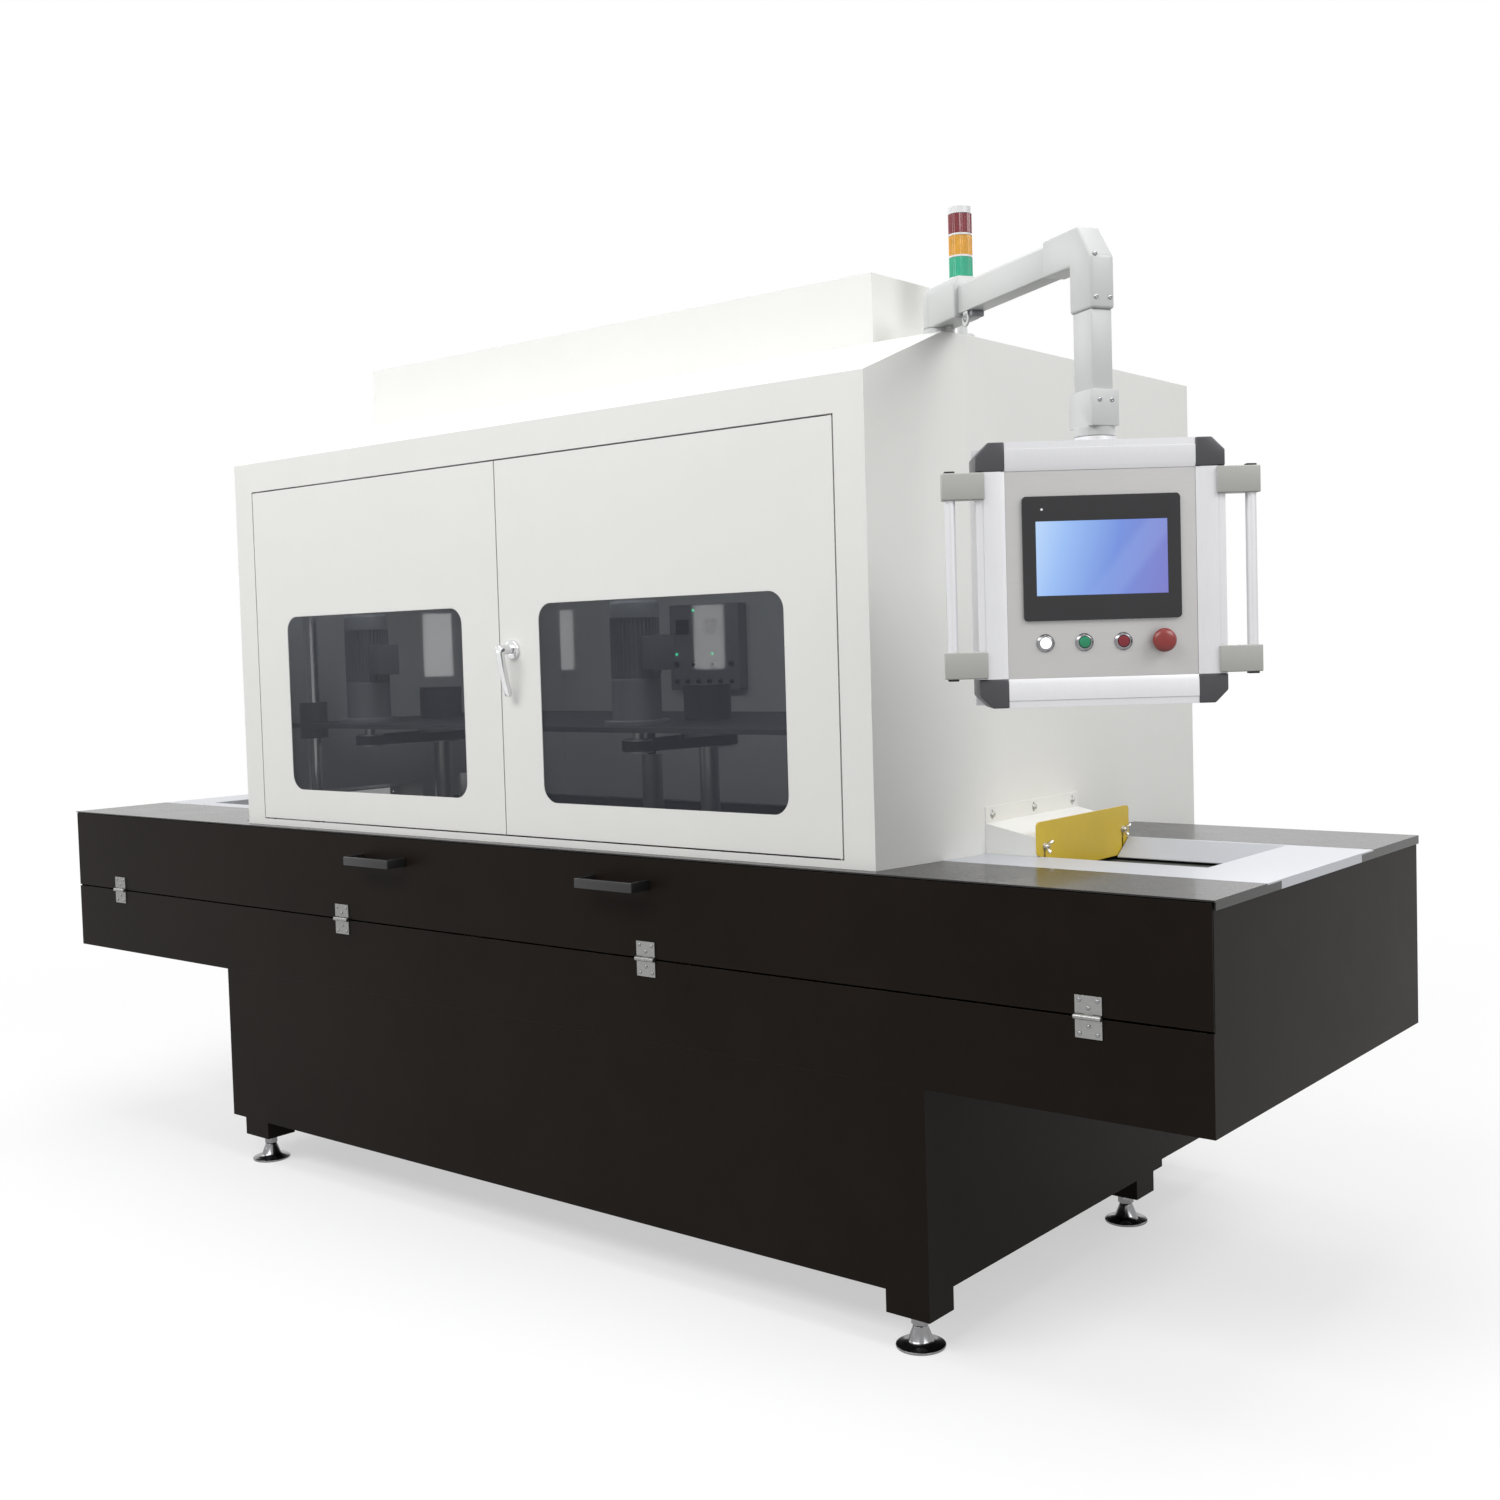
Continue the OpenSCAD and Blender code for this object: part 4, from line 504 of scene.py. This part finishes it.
armTab = {"from": 132, "to": 170, "half": 14, "clampLow": 2016, "clampRounding": 2, "tabLow": 1998,
          "radius": 13, "thick": 3, "back": -16, "neckHalf": 9, "neckRounding": 1, "screw": (4.6, 2.2)}


def makeArmTab():
    # small clamp below the tube with a round screwed tab on its near side
    t = armTab
    r, thick = t["radius"], t["thick"]
    middle, height = (t["from"] + t["to"]) / 2, t["tabLow"] + r
    top = armPlace["underside"]
    clamp = bmesh.new()
    addBlock(clamp, (t["from"], -t["half"], t["clampLow"]), (t["to"], t["half"], top), t["clampRounding"])
    tab = turned([(0, thick), (r - 1, thick), (r, thick - 1), (r, 0), (0, 0)],
                 place=setAt(middle, t["back"], height, quarter))
    neck = bmesh.new()
    addBlock(neck, (middle - t["neckHalf"], t["back"] - thick, height),
             (middle + t["neckHalf"], t["back"], top), t["neckRounding"])
    finishPiece("cable_clamp", clamp, cowlPaint, "arm", (), place=arm)
    finishPiece("cable_tab", joined([tab, neck]), armCoat, "arm", (), place=arm)
    screw = moved(screwHead(*t["screw"]), setAt(middle, t["back"] - thick, height, quarter))
    finishPiece("cable_tab_screw", screw, darkChrome, "arm", (), place=arm)


# control panel
panelBars = {"bar": 50, "end": 50, "step": 12, "stepDepth": 1.6, "stepRun": 0.6, "slope": 9,
             "slopeDepth": 3.2, "depth": 8, "wall": 6, "coverIn": 3, "coverThick": 4}
panelNeck = {"flange": 36, "flangeEdge": 7, "flangeTop": 8.7, "flangeRounding": 1.5, "radius": 24, "rise": 32,
             "sunk": 1}


def makePanelFrame():
    b, n = panelBars, panelNeck
    half = panelPlace["width"] / 2
    front, top, bottom = panelPlace["front"], panelPlace["top"], panelPlace["bottom"]
    back = -front
    outline = [(0, back), (0, front + b["stepDepth"]), (b["step"], front + b["stepDepth"]),
               (b["step"] + b["stepRun"], front), (b["bar"] - b["slope"], front),
               (b["bar"], front + b["slopeDepth"]), (b["bar"], front + b["depth"]),
               (b["wall"], front + b["depth"]), (b["wall"], back)]
    shapes = []
    across = half - b["end"]
    for sign, level in ((1, top), (-1, bottom)):
        points = [(-across, v, level - sign * u) for u, v in outline]
        shapes.append(drawn(points, (2 * across, 0, 0)))
    for sign in (-1, 1):
        points = [(sign * (half - u), v, bottom + b["end"]) for u, v in outline]
        shapes.append(drawn(points, (0, 0, top - bottom - 2 * b["end"])))
    cover = bmesh.new()
    addBlock(cover, (-half + b["coverIn"], back - b["coverThick"], bottom + b["coverIn"]),
             (half - b["coverIn"], back, top - b["coverIn"]))
    shapes.append(cover)
    low, flangeTop, rise = top - n["sunk"], top + n["flangeTop"], top + n["rise"]
    shapes.append(turned([(0, low), (n["flange"], low), (n["flange"], top + n["flangeEdge"]),
                          (n["flange"] - n["flangeRounding"], flangeTop), (n["radius"], flangeTop),
                          (n["radius"], rise), (0, rise)]))
    finishPiece("panel_bars", joined(shapes), frameAlu, "panel", ["panel_frame"], place=panel)


bracketPlugs = {"x": (-258, 258), "z": ((1668, 1671.5), (1312.5, 1316)), "y": (-48, -30), "half": 9,
                "rounding": 1.2}


def makePanelFittings():
    finishPiece("panel_corner_castings", roundedCopy("panel_corners", 0.0025), cornerCoat, "panel",
                ["panel_corners"], smooth=50)
    finishPiece("handle_brackets", roundedCopy("grip_brackets", 0.002), bracketCoat, "panel",
                ["grip_brackets"], smooth=50)
    p = bracketPlugs
    plugs = bmesh.new()
    for x in p["x"]:
        for low, high in p["z"]:
            addBlock(plugs, (x - p["half"], p["y"][0], low), (x + p["half"], p["y"][1], high), p["rounding"])
    finishPiece("bracket_plugs", plugs, blackPlastic, "panel", (), place=panel)


screenUnit = {"front": -47, "lightX": -102, "lightZ": 1602}


def makeScreenUnit():
    u = screenUnit
    finishPiece("screen_housing", roundedCopy("screen_bezel", 0.0018), glossBlack, "panel",
                ["screen_bezel"], smooth=50)
    light = turned([(0, 1.0), (1.2, 0.8), (2.2, 0.2), (2.2, -0.4)], steps=20,
                   place=setAt(u["lightX"], u["front"], u["lightZ"], quarter))
    finishPiece("screen_light", light, whiteButton, "panel", (), place=panel)


pushButtons = {"height": 1374, "places": (-99, -32, 35, 102), "ring": 15.5, "bores": (9.9, 9.9, 9.9, 8.3)}


def makeButtons():
    p = pushButtons
    places = [setAt(x, panelPlace["face"], p["height"], quarter) for x in p["places"]]
    rings = []
    for bore, place in zip(p["bores"], places):
        rings.append(turned([(bore, -28), (11, -28), (11, 0), (p["ring"], 0), (p["ring"], 1.6),
                             (p["ring"] - 0.8, 2.6), (12.2, 4.6), (11.6, 5.0), (10.6, 5.0), (bore, 4.2),
                             (bore, -28)], place=place))
    finishPiece("button_rings", joined(rings), darkChrome, "panel", ["button_bezels"], place=panel)
    caps = (("white_button", "white_push", litWhite, "white_plastic"),
            ("green_button", "green_push", greenButton, "green_plastic"),
            ("red_button", "red_push", redButton, "red_plastic"))
    for place, (node, body, material, slotName) in zip(places, caps):
        cap = turned([(0, -5), (9.6, -5), (9.6, 5.6), (9.0, 6.6), (8.0, 6.9), (0, 7.0)], place=place)
        finishPiece(node.replace("_", "-") + "-cap", cap, material, body, [node], place=panel)
    stop = turned([(0, -15), (8, -15), (8, 13.4), (17.5, 13.4), (19.8, 14.6), (20.5, 17.0), (20.0, 20.0),
                   (18.2, 22.6), (15.6, 24.6), (10.0, 26.3), (0, 27.0)], steps=64, place=places[3])
    finishPiece("stop_mushroom", stop, stopRed, "stop_push", ["stop_button"], place=panel)


# door lever, its blade outlined by depth and height from the shaft
doorLever = {"x": 1976, "z": 1391, "face": 29, "width": 15, "plate": 22, "rounding": 3.2,
             "blade": [(-21.5, 0), (-20, 7), (-14, 10), (-8, 7), (-6, -1), (-2, -29), (7, -73), (14.5, -99),
                       (14, -107), (9, -110.5), (3, -108), (-6, -79), (-17, -33)]}


def makeLever():
    d = doorLever
    toFront = setAt(d["x"], d["face"], d["z"], quarter)
    r = d["plate"]
    plate = turned([(5.1, 0), (r, 0), (r, 5.5), (r - 1.5, 8), (r - 7, 10), (12, 10), (11.6, 9.4), (5.1, 9.4),
                    (5.1, 0)], steps=64, place=toFront)
    finishPiece("lever_plate", plate, chrome, "right_leaf", ["lever_base"], place=machine)
    blade = drawn([(d["x"] - d["width"] / 2, y, d["z"] + z) for y, z in d["blade"]], (d["width"], 0, 0))
    rims = [e for e in blade.edges if abs(e.verts[0].co.x - e.verts[1].co.x) < d["width"] / 2]
    roundEdges(blade, rims, d["rounding"], 3)
    stem = turned([(0, 50), (10.0, 49), (11, 47.5), (11, 16), (10, 12), (10, 10.4), (5, 10.4), (5, -30.3),
                   (0, -30.3)], steps=40, place=toFront)
    finishPiece("lever_handle", joined([blade, stem]), chrome, "lever", ["door_lever"], smooth=50,
                place=machine)


# fixings on the feed and exit hoods
hoodFixings = {"flangeZ": 1015.5, "boltY": (384, 556.5, 726), "feedX": 3050, "exitX": 734,
               "bolt": (5.6, 4.2, 8), "wingZ": 954.5, "wingY": (384, 726), "guardX": 3174.6, "wingTurn": 65,
               "wingThick": 2.6, "shank": 3, "shankLength": 7, "shankBack": 6.8}


def hexBolt(radius, height, washer):
    # hexagon head on a washer, standing on Z = 0
    head = bmesh.new()
    bmesh.ops.create_cone(head, cap_ends=True, segments=6, radius1=radius, radius2=radius, depth=height,
                          matrix=Matrix.Translation((0, 0, 1.2 + height / 2)))
    roundEdges(head, [e for e in head.edges if all(v.co.z > height for v in e.verts)], 0.6)
    disc = turned([(0, 0), (washer, 0), (washer, 0.9), (washer - 0.4, 1.3), (0, 1.3)], steps=28)
    return joined([head, disc])


def wingScrew(thick):
    # round hub with two pressed wings, standing on Z = 0
    shapes = [turned([(0, 0), (7.5, 0), (7.5, 1.4), (5.5, 2), (5.2, 7), (4.4, 9), (3, 9.4), (3, 12),
                      (0, 12.4)], steps=24)]
    for side in (1, -1):
        outline = [(3, 2), (9, 6), (15, 13), (14, 18), (9, 18.5), (5, 11), (3, 7)]
        wing = drawn([(-thick / 2, side * y, z) for y, z in outline], (thick, 0, 0))
        roundEdges(wing, wing.edges[:], 0.7)
        shapes.append(wing)
    return joined(shapes)


def makeHoodFixings():
    h = hoodFixings
    parts = []
    for y in h["boltY"]:
        for x, side in ((h["feedX"], 1), (h["exitX"], -1)):
            parts.append(moved(hexBolt(*h["bolt"]), setAt(x, y, h["flangeZ"], side * quarter, "Y")))
    for y in h["wingY"]:
        toEnd = setAt(h["guardX"], y, h["wingZ"], quarter, "Y")
        turn = Matrix.Rotation(math.radians(h["wingTurn"]), 4, "Z")
        parts.append(moved(wingScrew(h["wingThick"]), toEnd @ turn))
        parts.append(turned([(0, 0), (h["shank"], 0), (h["shank"], h["shankLength"]), (0, h["shankLength"])],
                            steps=16, place=setAt(h["guardX"] - h["shankBack"], y, h["wingZ"], quarter, "Y")))
    finishPiece("hood_fixings", joined(parts), steel, "machine", ["hood_screws"], place=machine)


# levelling feet
foot = {"x": (895.5, 3070.5), "y": (42.5, 906.5), "pad": 50, "nut": 18.5, "nutHeight": 16, "nutMiddle": 52.5,
        "nutRounding": 1.2}


def makeFeet():
    parts = []
    r = foot["pad"]
    for x in foot["x"]:
        for y in foot["y"]:
            place = Matrix.Translation((x, y, 0))
            parts.append(turned([(0, 0), (r - 2.5, 0), (r - 0.6, 1.0), (r, 3), (r - 0.6, 5.2), (r - 3, 6.4),
                                 (r - 6, 6.8), (r - 14, 9.5), (28, 12.5), (25, 16), (16.2, 38), (15.2, 41),
                                 (14, 43), (0, 43)], steps=72, place=place))
            nut = bmesh.new()
            bmesh.ops.create_cone(nut, cap_ends=True, segments=6, radius1=foot["nut"], radius2=foot["nut"],
                                  depth=foot["nutHeight"],
                                  matrix=Matrix.Translation((x, y, foot["nutMiddle"])))
            roundEdges(nut, nut.edges[:], foot["nutRounding"])
            parts.append(nut)
            parts.append(turned([(0, 60), (15.5, 60), (15.5, 68.6), (14.5, 69.8), (0, 69.8)], steps=32,
                                place=place))
    finishPiece("foot_set", joined(parts), footChrome, "machine", ["levelling_feet"], smooth=40,
                place=machine)


# flap hinges and pulls
flapHinges = {"first": 241, "pitch": 1079.333, "count": 4, "face": -3.5, "axisZ": 709, "across": 18,
              "near": 16.5, "far": 30.25}


def makeHingeScrews():
    h = flapHinges
    screwPlaces = ((-h["across"], h["far"]), (h["across"], h["far"]), (0, h["near"]))
    for body, side in (("machine", -1), ("flap", 1)):
        heads = []
        for i in range(h["count"]):
            x = h["first"] + i * h["pitch"]
            for dx, dz in screwPlaces:
                heads.append(turned([(0, 1.5), (1.2, 1.45), (2.6, 1.1), (3.7, 0.4), (4.1, -0.3)], steps=20,
                                    place=setAt(x + dx, h["face"], h["axisZ"] + side * dz, quarter)))
        finishPiece("hinge_screws_" + body, joined(heads), darkChrome, body, (), place=machine)


def makePulls():
    finishPiece("flap_pulls", roundedCopy("flap_handles", 0.0018), blackPlastic, "flap", ["flap_handles"],
                smooth=50)


# brush motors, with the terminal box and fan guard of each
spindleX = (1070, 2108)
brushMotor = {"y": 300, "base": 1202, "flange": 80, "flangeTop": 12, "bore": 15, "radius": 60, "fins": 36,
              "finDepth": 8, "finFrom": 1314, "finTo": 1458, "top": 1502}
terminalBox = {"x": (50, 92), "half": 34, "z": (1335, 1415), "rounding": 4, "lidX": (90, 95), "lidOver": 2,
               "lidRounding": 1.5, "glandX": 70, "glandZ": 1336}
fanGuard = {"rings": 5, "first": 8, "pitch": 7, "wire": 3.6, "deep": 2, "open": 42, "spokes": 4, "reach": 44,
            "spokeHalf": 1.5, "spokeLow": 2.5, "spokeHigh": 0.5}


def finnedBarrel(radius, depth, count, low, high):
    points = []
    for k in range(count):
        for share, r in ((0.0, radius - depth), (0.30, radius - depth), (0.42, radius), (0.58, radius),
                         (0.70, radius - depth)):
            angle = 2 * math.pi * (k + share) / count
            points.append((r * math.cos(angle), r * math.sin(angle), low))
    return drawn(points, (0, 0, high - low))


def motorBarrel(x):
    m, t = brushMotor, terminalBox
    r, y, base = m["radius"], m["y"], m["base"]
    place = Matrix.Translation((x, y, 0))
    flangeTop = base + m["flangeTop"]
    flange = turned([(m["bore"], base), (m["flange"], base), (m["flange"], flangeTop - 2),
                     (m["flange"] - 2, flangeTop), (r, flangeTop), (r, m["finFrom"] - 3),
                     (r - 3, m["finFrom"]), (0, m["finFrom"])], steps=64, place=place)
    fins = moved(finnedBarrel(r - 0.4, m["finDepth"], m["fins"], m["finFrom"] - 1, m["finTo"] + 1), place)
    box = bmesh.new()
    half, over = t["half"], t["lidOver"]
    addBlock(box, (x + t["x"][0], y - half, t["z"][0]), (x + t["x"][1], y + half, t["z"][1]), t["rounding"])
    addBlock(box, (x + t["lidX"][0], y - half - over, t["z"][0] - over),
             (x + t["lidX"][1], y + half + over, t["z"][1] + over), t["lidRounding"])
    gland = turned([(0, 0), (11, 0), (11, 8), (8, 12), (8, 18), (0, 18)], steps=20,
                   place=setAt(x + t["glandX"], y, t["glandZ"], math.pi))
    return [flange, fins, box, gland]


def motorCowl(x):
    m, g = brushMotor, fanGuard
    r, top = m["radius"], m["top"]
    place = Matrix.Translation((x, m["y"], 0))
    shapes = [turned([(r - 1, m["finTo"]), (r, m["finTo"] + 1), (r, top - 10), (r - 4, top - 3),
                      (r - 11, top), (g["open"], top)], steps=64, place=place)]
    for ring in range(g["rings"]):
        inner = g["first"] + ring * g["pitch"]
        outer, low = inner + g["wire"], top - g["deep"]
        shapes.append(turned([(inner, low), (inner, top), (outer, top), (outer, low), (inner, low)], steps=48,
                             place=place))
    spokes = bmesh.new()
    for k in range(g["spokes"]):
        made = addBlock(spokes, (-g["reach"], -g["spokeHalf"], top - g["spokeLow"]),
                        (g["reach"], g["spokeHalf"], top - g["spokeHigh"]))
        turn = Matrix.Rotation(k * math.pi / g["spokes"], 4, "Z")
        bmesh.ops.transform(spokes, matrix=place @ turn, verts=made)
    return shapes + [spokes]


def makeMotors():
    barrels, cowls = [], []
    for x in spindleX:
        barrels += motorBarrel(x)
        cowls += motorCowl(x)
    finishPiece("motor_barrels", joined(barrels), motorPaint, "head", ["spindle_motors"],
                smooth=40, place=machine)
    finishPiece("motor_cowls", joined(cowls), cowlPaint, "head", (), smooth=40, place=machine)


# brushes
brush = {"y": 556.5, "low": 893, "high": 930, "outer": 172.5, "inner": 60, "tufts": 96, "depth": 2.5,
         "band": 6, "bandProud": 0.3}


def makeBrushes():
    # dense bristle rings, fluted like rows of tufts, below a smooth band
    b = brush
    low, high, inner = b["low"], b["high"], b["inner"]
    rim, proud, bandLow = b["outer"] - b["depth"], b["outer"] + b["bandProud"], high - b["band"]
    for body, x in zip(("left_brush", "right_brush"), spindleX):
        tufts = finnedBarrel(b["outer"], b["depth"], b["tufts"], low, bandLow)
        caps = [face for face in tufts.faces if abs(face.normal.z) > 0.9]
        bmesh.ops.delete(tufts, geom=caps, context="FACES_ONLY")
        band = turned([(inner, high), (inner, low + 1), (inner + 2, low), (rim, low), (rim, bandLow),
                       (proud, bandLow), (proud, high), (inner, high)], steps=b["tufts"])
        ring = moved(joined([tufts, band]), Matrix.Translation((x, b["y"], 0)))
        finishPiece(body + "_bristles", ring, bristles, body, (), smooth=40, place=machine)


# switch panel on the chamber's back wall, its fittings placed by shares across and up
switchPanel = {"x": (1283, 1570), "z": (1250, 1520), "y": (1318, 1360), "rounding": 3,
               "meterShares": ((0.2, 0.74), (0.62, 0.74)), "knobRows": ((0.30, 4, 10), (0.1, 6, 8)),
               "lightShares": ((0.10, 0.42), (0.36, 0.93), (0.62, 0.42))}


def makeSwitchPanel():
    p = switchPanel
    (low, high), (bottom, top), (front, back) = p["x"], p["z"], p["y"]

    def at(u, v):
        return low + u * (high - low), bottom + v * (top - bottom)

    case = bmesh.new()
    addBlock(case, (low, front, bottom), (high, back, top), p["rounding"])
    finishPiece("switch_case", case, cowlPaint, "machine", (), place=machine)
    meters, knobs, lights = bmesh.new(), [], []
    for u, v in p["meterShares"]:
        x, z = at(u, v)
        addBlock(meters, (x - 26, front - 6, z - 24), (x + 26, front, z + 24), 2)
        addBlock(meters, (x - 19, front - 7, z + 4), (x + 19, front - 5, z + 18), 0.8)
        addBlock(meters, (x - 19, front - 7, z - 16), (x + 19, front - 5, z - 3), 0.8)
    finishPiece("switch_meters", meters, blackPlastic, "machine", (), place=machine)
    for v, count, r in p["knobRows"]:
        for i in range(count):
            x, z = at(0.1 + 0.8 * i / (count - 1), v)
            knobs.append(turned([(0, 9), (r * 0.7, 8.5), (r * 0.8, 2.5), (r, 2), (r, 0)], steps=24,
                                place=setAt(x, front, z, quarter)))
    finishPiece("switch_knobs", joined(knobs), blackPlastic, "machine", (), place=machine)
    for u, v in p["lightShares"]:
        x, z = at(u, v)
        lights.append(turned([(0, 5), (3.5, 4), (5, 0)], steps=20, place=setAt(x, front, z, quarter)))
    finishPiece("switch_lights", joined(lights), litGreen, "machine", (), place=machine)


# cover screws and louvres at the back
backCovers = {"x": ((857, 1617), (2167, 2927)), "z": (1080, 1780), "y": 1365, "screwIn": 20,
              "screw": (5, 2.4)}
louvres = {"x": (1040, 2480), "length": 300, "low": 420, "rows": 9, "pitch": 22, "height": 9,
           "y": (1361.5, 1366), "rounding": 2}


def makeBackDetails():
    c, v = backCovers, louvres
    heads = []
    for low, high in c["x"]:
        for x in (low + c["screwIn"], (low + high) / 2, high - c["screwIn"]):
            for z in (c["z"][0] + c["screwIn"], c["z"][1] - c["screwIn"]):
                heads.append(moved(screwHead(*c["screw"]), setAt(x, c["y"], z, -quarter)))
    finishPiece("cover_screws", joined(heads), steel, "machine", (), place=machine)
    slats = bmesh.new()
    for x in v["x"]:
        for row in range(v["rows"]):
            z = v["low"] + row * v["pitch"]
            addBlock(slats, (x, v["y"][0], z), (x + v["length"], v["y"][1], z + v["height"]), v["rounding"])
    finishPiece("cabinet_louvres", slats, blackPaint, "machine", (), place=machine)


makeLenses()
makeArm()
makeArmTab()
makePanelFrame()
makePanelFittings()
makeScreenUnit()
makeButtons()
makeLever()
makeHoodFixings()
makeFeet()
makeHingeScrews()
makePulls()
makeMotors()
makeBrushes()
makeSwitchPanel()
makeBackDetails()
print("pieces made")


# camera, lamps and floor, in metres
cameraView = {
    "place": (3.0344, -3.2239, 1.3837),
    "towards": (-0.62775, 0.77711, -0.04491),
    "right": (0.77839, 0.62714, -0.02840),
    "lens": 40.12,
    "sensor": 36,
    "shift": (-0.0212, -0.0198),
}


def setCamera():
    data = bpy.data.cameras.new("photo camera")
    data.lens = cameraView["lens"]
    data.sensor_width = cameraView["sensor"]
    data.sensor_fit = "HORIZONTAL"
    data.shift_x, data.shift_y = cameraView["shift"]
    data.clip_end = 60
    towards = Vector(cameraView["towards"]).normalized()
    right = Vector(cameraView["right"])
    right = (right - towards * right.dot(towards)).normalized()
    upward = right.cross(towards)
    turn = Matrix((right, upward, -towards)).transposed().to_4x4()
    camera = bpy.data.objects.new("photo camera", data)
    camera.matrix_world = Matrix.Translation(cameraView["place"]) @ turn
    bpy.context.scene.collection.objects.link(camera)
    bpy.context.scene.camera = camera


# the strips are narrow lamps that the panes mirror, and the chamber lamp is inside the housing
lamps = {
    "key": {"place": (-0.4, -5.0, 5.2), "aim": (-0.2, 0, 1.5), "size": (6.0, 2.4), "power": 275},
    "side": {"place": (6.0, -0.6, 4.6), "aim": (0.8, 0, 1.6), "size": (3.4, 2.4), "power": 178},
    "left": {"place": (-5.8, -1.0, 3.8), "aim": (-0.8, 0, 1.2), "size": (3.0, 2.4), "power": 60},
    "back": {"place": (-0.3, 5.4, 4.4), "aim": (0, 0.6, 1.2), "size": (5.0, 2.0), "power": 110},
    "top": {"place": (0, 0.2, 6.2), "aim": (0, 0, 0), "size": (5.5, 3.0), "power": 110},
    "chamber": {"place": (0.06, -0.42, 1.84), "aim": (0.06, 0.1, 1.1), "size": (1.85, 0.1), "power": 3.4,
                "tint": (0.86, 0.92, 1.0)},
    "right strip": {"place": (-2.49, -4.2, 1.435), "aim": (0.702, -0.576, 1.405), "size": (0.15, 0.32),
                    "power": 1.1},
    "middle strip": {"place": (-3.506, -4.2, 1.444), "aim": (0.273, -0.576, 1.409), "size": (0.07, 0.32),
                     "power": 0.4},
    "left strip": {"place": (-4.574, -4.2, 1.441), "aim": (-0.178, -0.576, 1.408), "size": (0.16, 0.36),
                   "power": 1.3},
}


def addLamps():
    for name, lamp in lamps.items():
        data = bpy.data.lights.new(name, "AREA")
        data.shape = "RECTANGLE"
        data.size, data.size_y = lamp["size"]
        data.energy = lamp["power"]
        data.color = lamp.get("tint", (1, 1, 1))
        light = bpy.data.objects.new(name, data)
        place = Vector(lamp["place"])
        light.location = place
        light.rotation_euler = (Vector(lamp["aim"]) - place).to_track_quat("-Z", "Y").to_euler()
        bpy.context.scene.collection.objects.link(light)


studio = {"sky": 0.40, "floorSeen": (0.87, 0.87, 0.87), "floorBounce": (0.26, 0.26, 0.26), "floorSize": 40,
          "whiteFrom": 2.0, "whiteTo": 4.6, "whiteShare": 0.55}


def seenRays(sheet):
    # 1 for rays that show the background: straight, mirrored or through glass
    paths = [sheet.add("ShaderNodeLightPath", output=name)
             for name in ("Is Camera Ray", "Is Glossy Ray", "Is Transmission Ray")]
    return paths[0].maths("MAXIMUM", paths[0], paths[0].maths("MAXIMUM", paths[1], paths[2]))


class Sky(Sheet):
    # the same helpers on the world's node tree
    def __init__(self, world):
        world.use_nodes = True
        self.tree = world.node_tree
        self.tree.nodes.clear()


def setWorld():
    world = bpy.data.worlds.new("studio")
    bpy.context.scene.world = world
    s = Sky(world)
    glow = s.add("ShaderNodeBackground", {}, {"Color": (1, 1, 1), "Strength": studio["sky"]})
    white = s.add("ShaderNodeBackground", {}, {"Color": (1, 1, 1), "Strength": 1.0})
    mixed = s.add("ShaderNodeMixShader", {}, {0: seenRays(s), 1: glow, 2: white})
    s.add("ShaderNodeOutputWorld", {}, {"Surface": mixed})


def addFloor():
    # a pale floor that keeps the shadow and turns white away from the object
    shape = bmesh.new()
    bmesh.ops.create_grid(shape, x_segments=1, y_segments=1, size=studio["floorSize"])
    mesh = bpy.data.meshes.new("studio floor")
    shape.to_mesh(mesh)
    shape.free()
    floor = bpy.data.objects.new("studio floor", mesh)
    bpy.context.scene.collection.objects.link(floor)
    s = Sheet("studio floor")
    seen = seenRays(s)
    cloud = s.noise(0.8, 2.0)
    tint = s.blend(seen, studio["floorBounce"], studio["floorSeen"])
    lit = s.add("ShaderNodeBsdfPrincipled", {}, {"Base Color": tint, "Roughness": 0.85 + 0.05 * cloud,
                                                 "Specular IOR Level": 0.1})
    white = s.add("ShaderNodeEmission", {}, {"Color": (1, 1, 1), "Strength": 1.0})
    span = studio["whiteTo"] - studio["whiteFrom"]
    far = s.add("ShaderNodeVectorMath", {"operation": "LENGTH"}, {0: s.place}, output="Value")
    fade = s.ramp((far - studio["whiteFrom"]) * (1 / span), (0.0, studio["whiteShare"]), (1.0, 1.0))
    s.add("ShaderNodeOutputMaterial", {}, {"Surface": s.add("ShaderNodeMixShader", {}, {
        0: fade * seen, 1: lit, 2: white})})
    mesh.materials.append(s.material)


setCamera()
addLamps()
setWorld()
addFloor()
view = bpy.context.scene.view_settings
view.view_transform = "Standard"
print("camera, lamps and floor set")
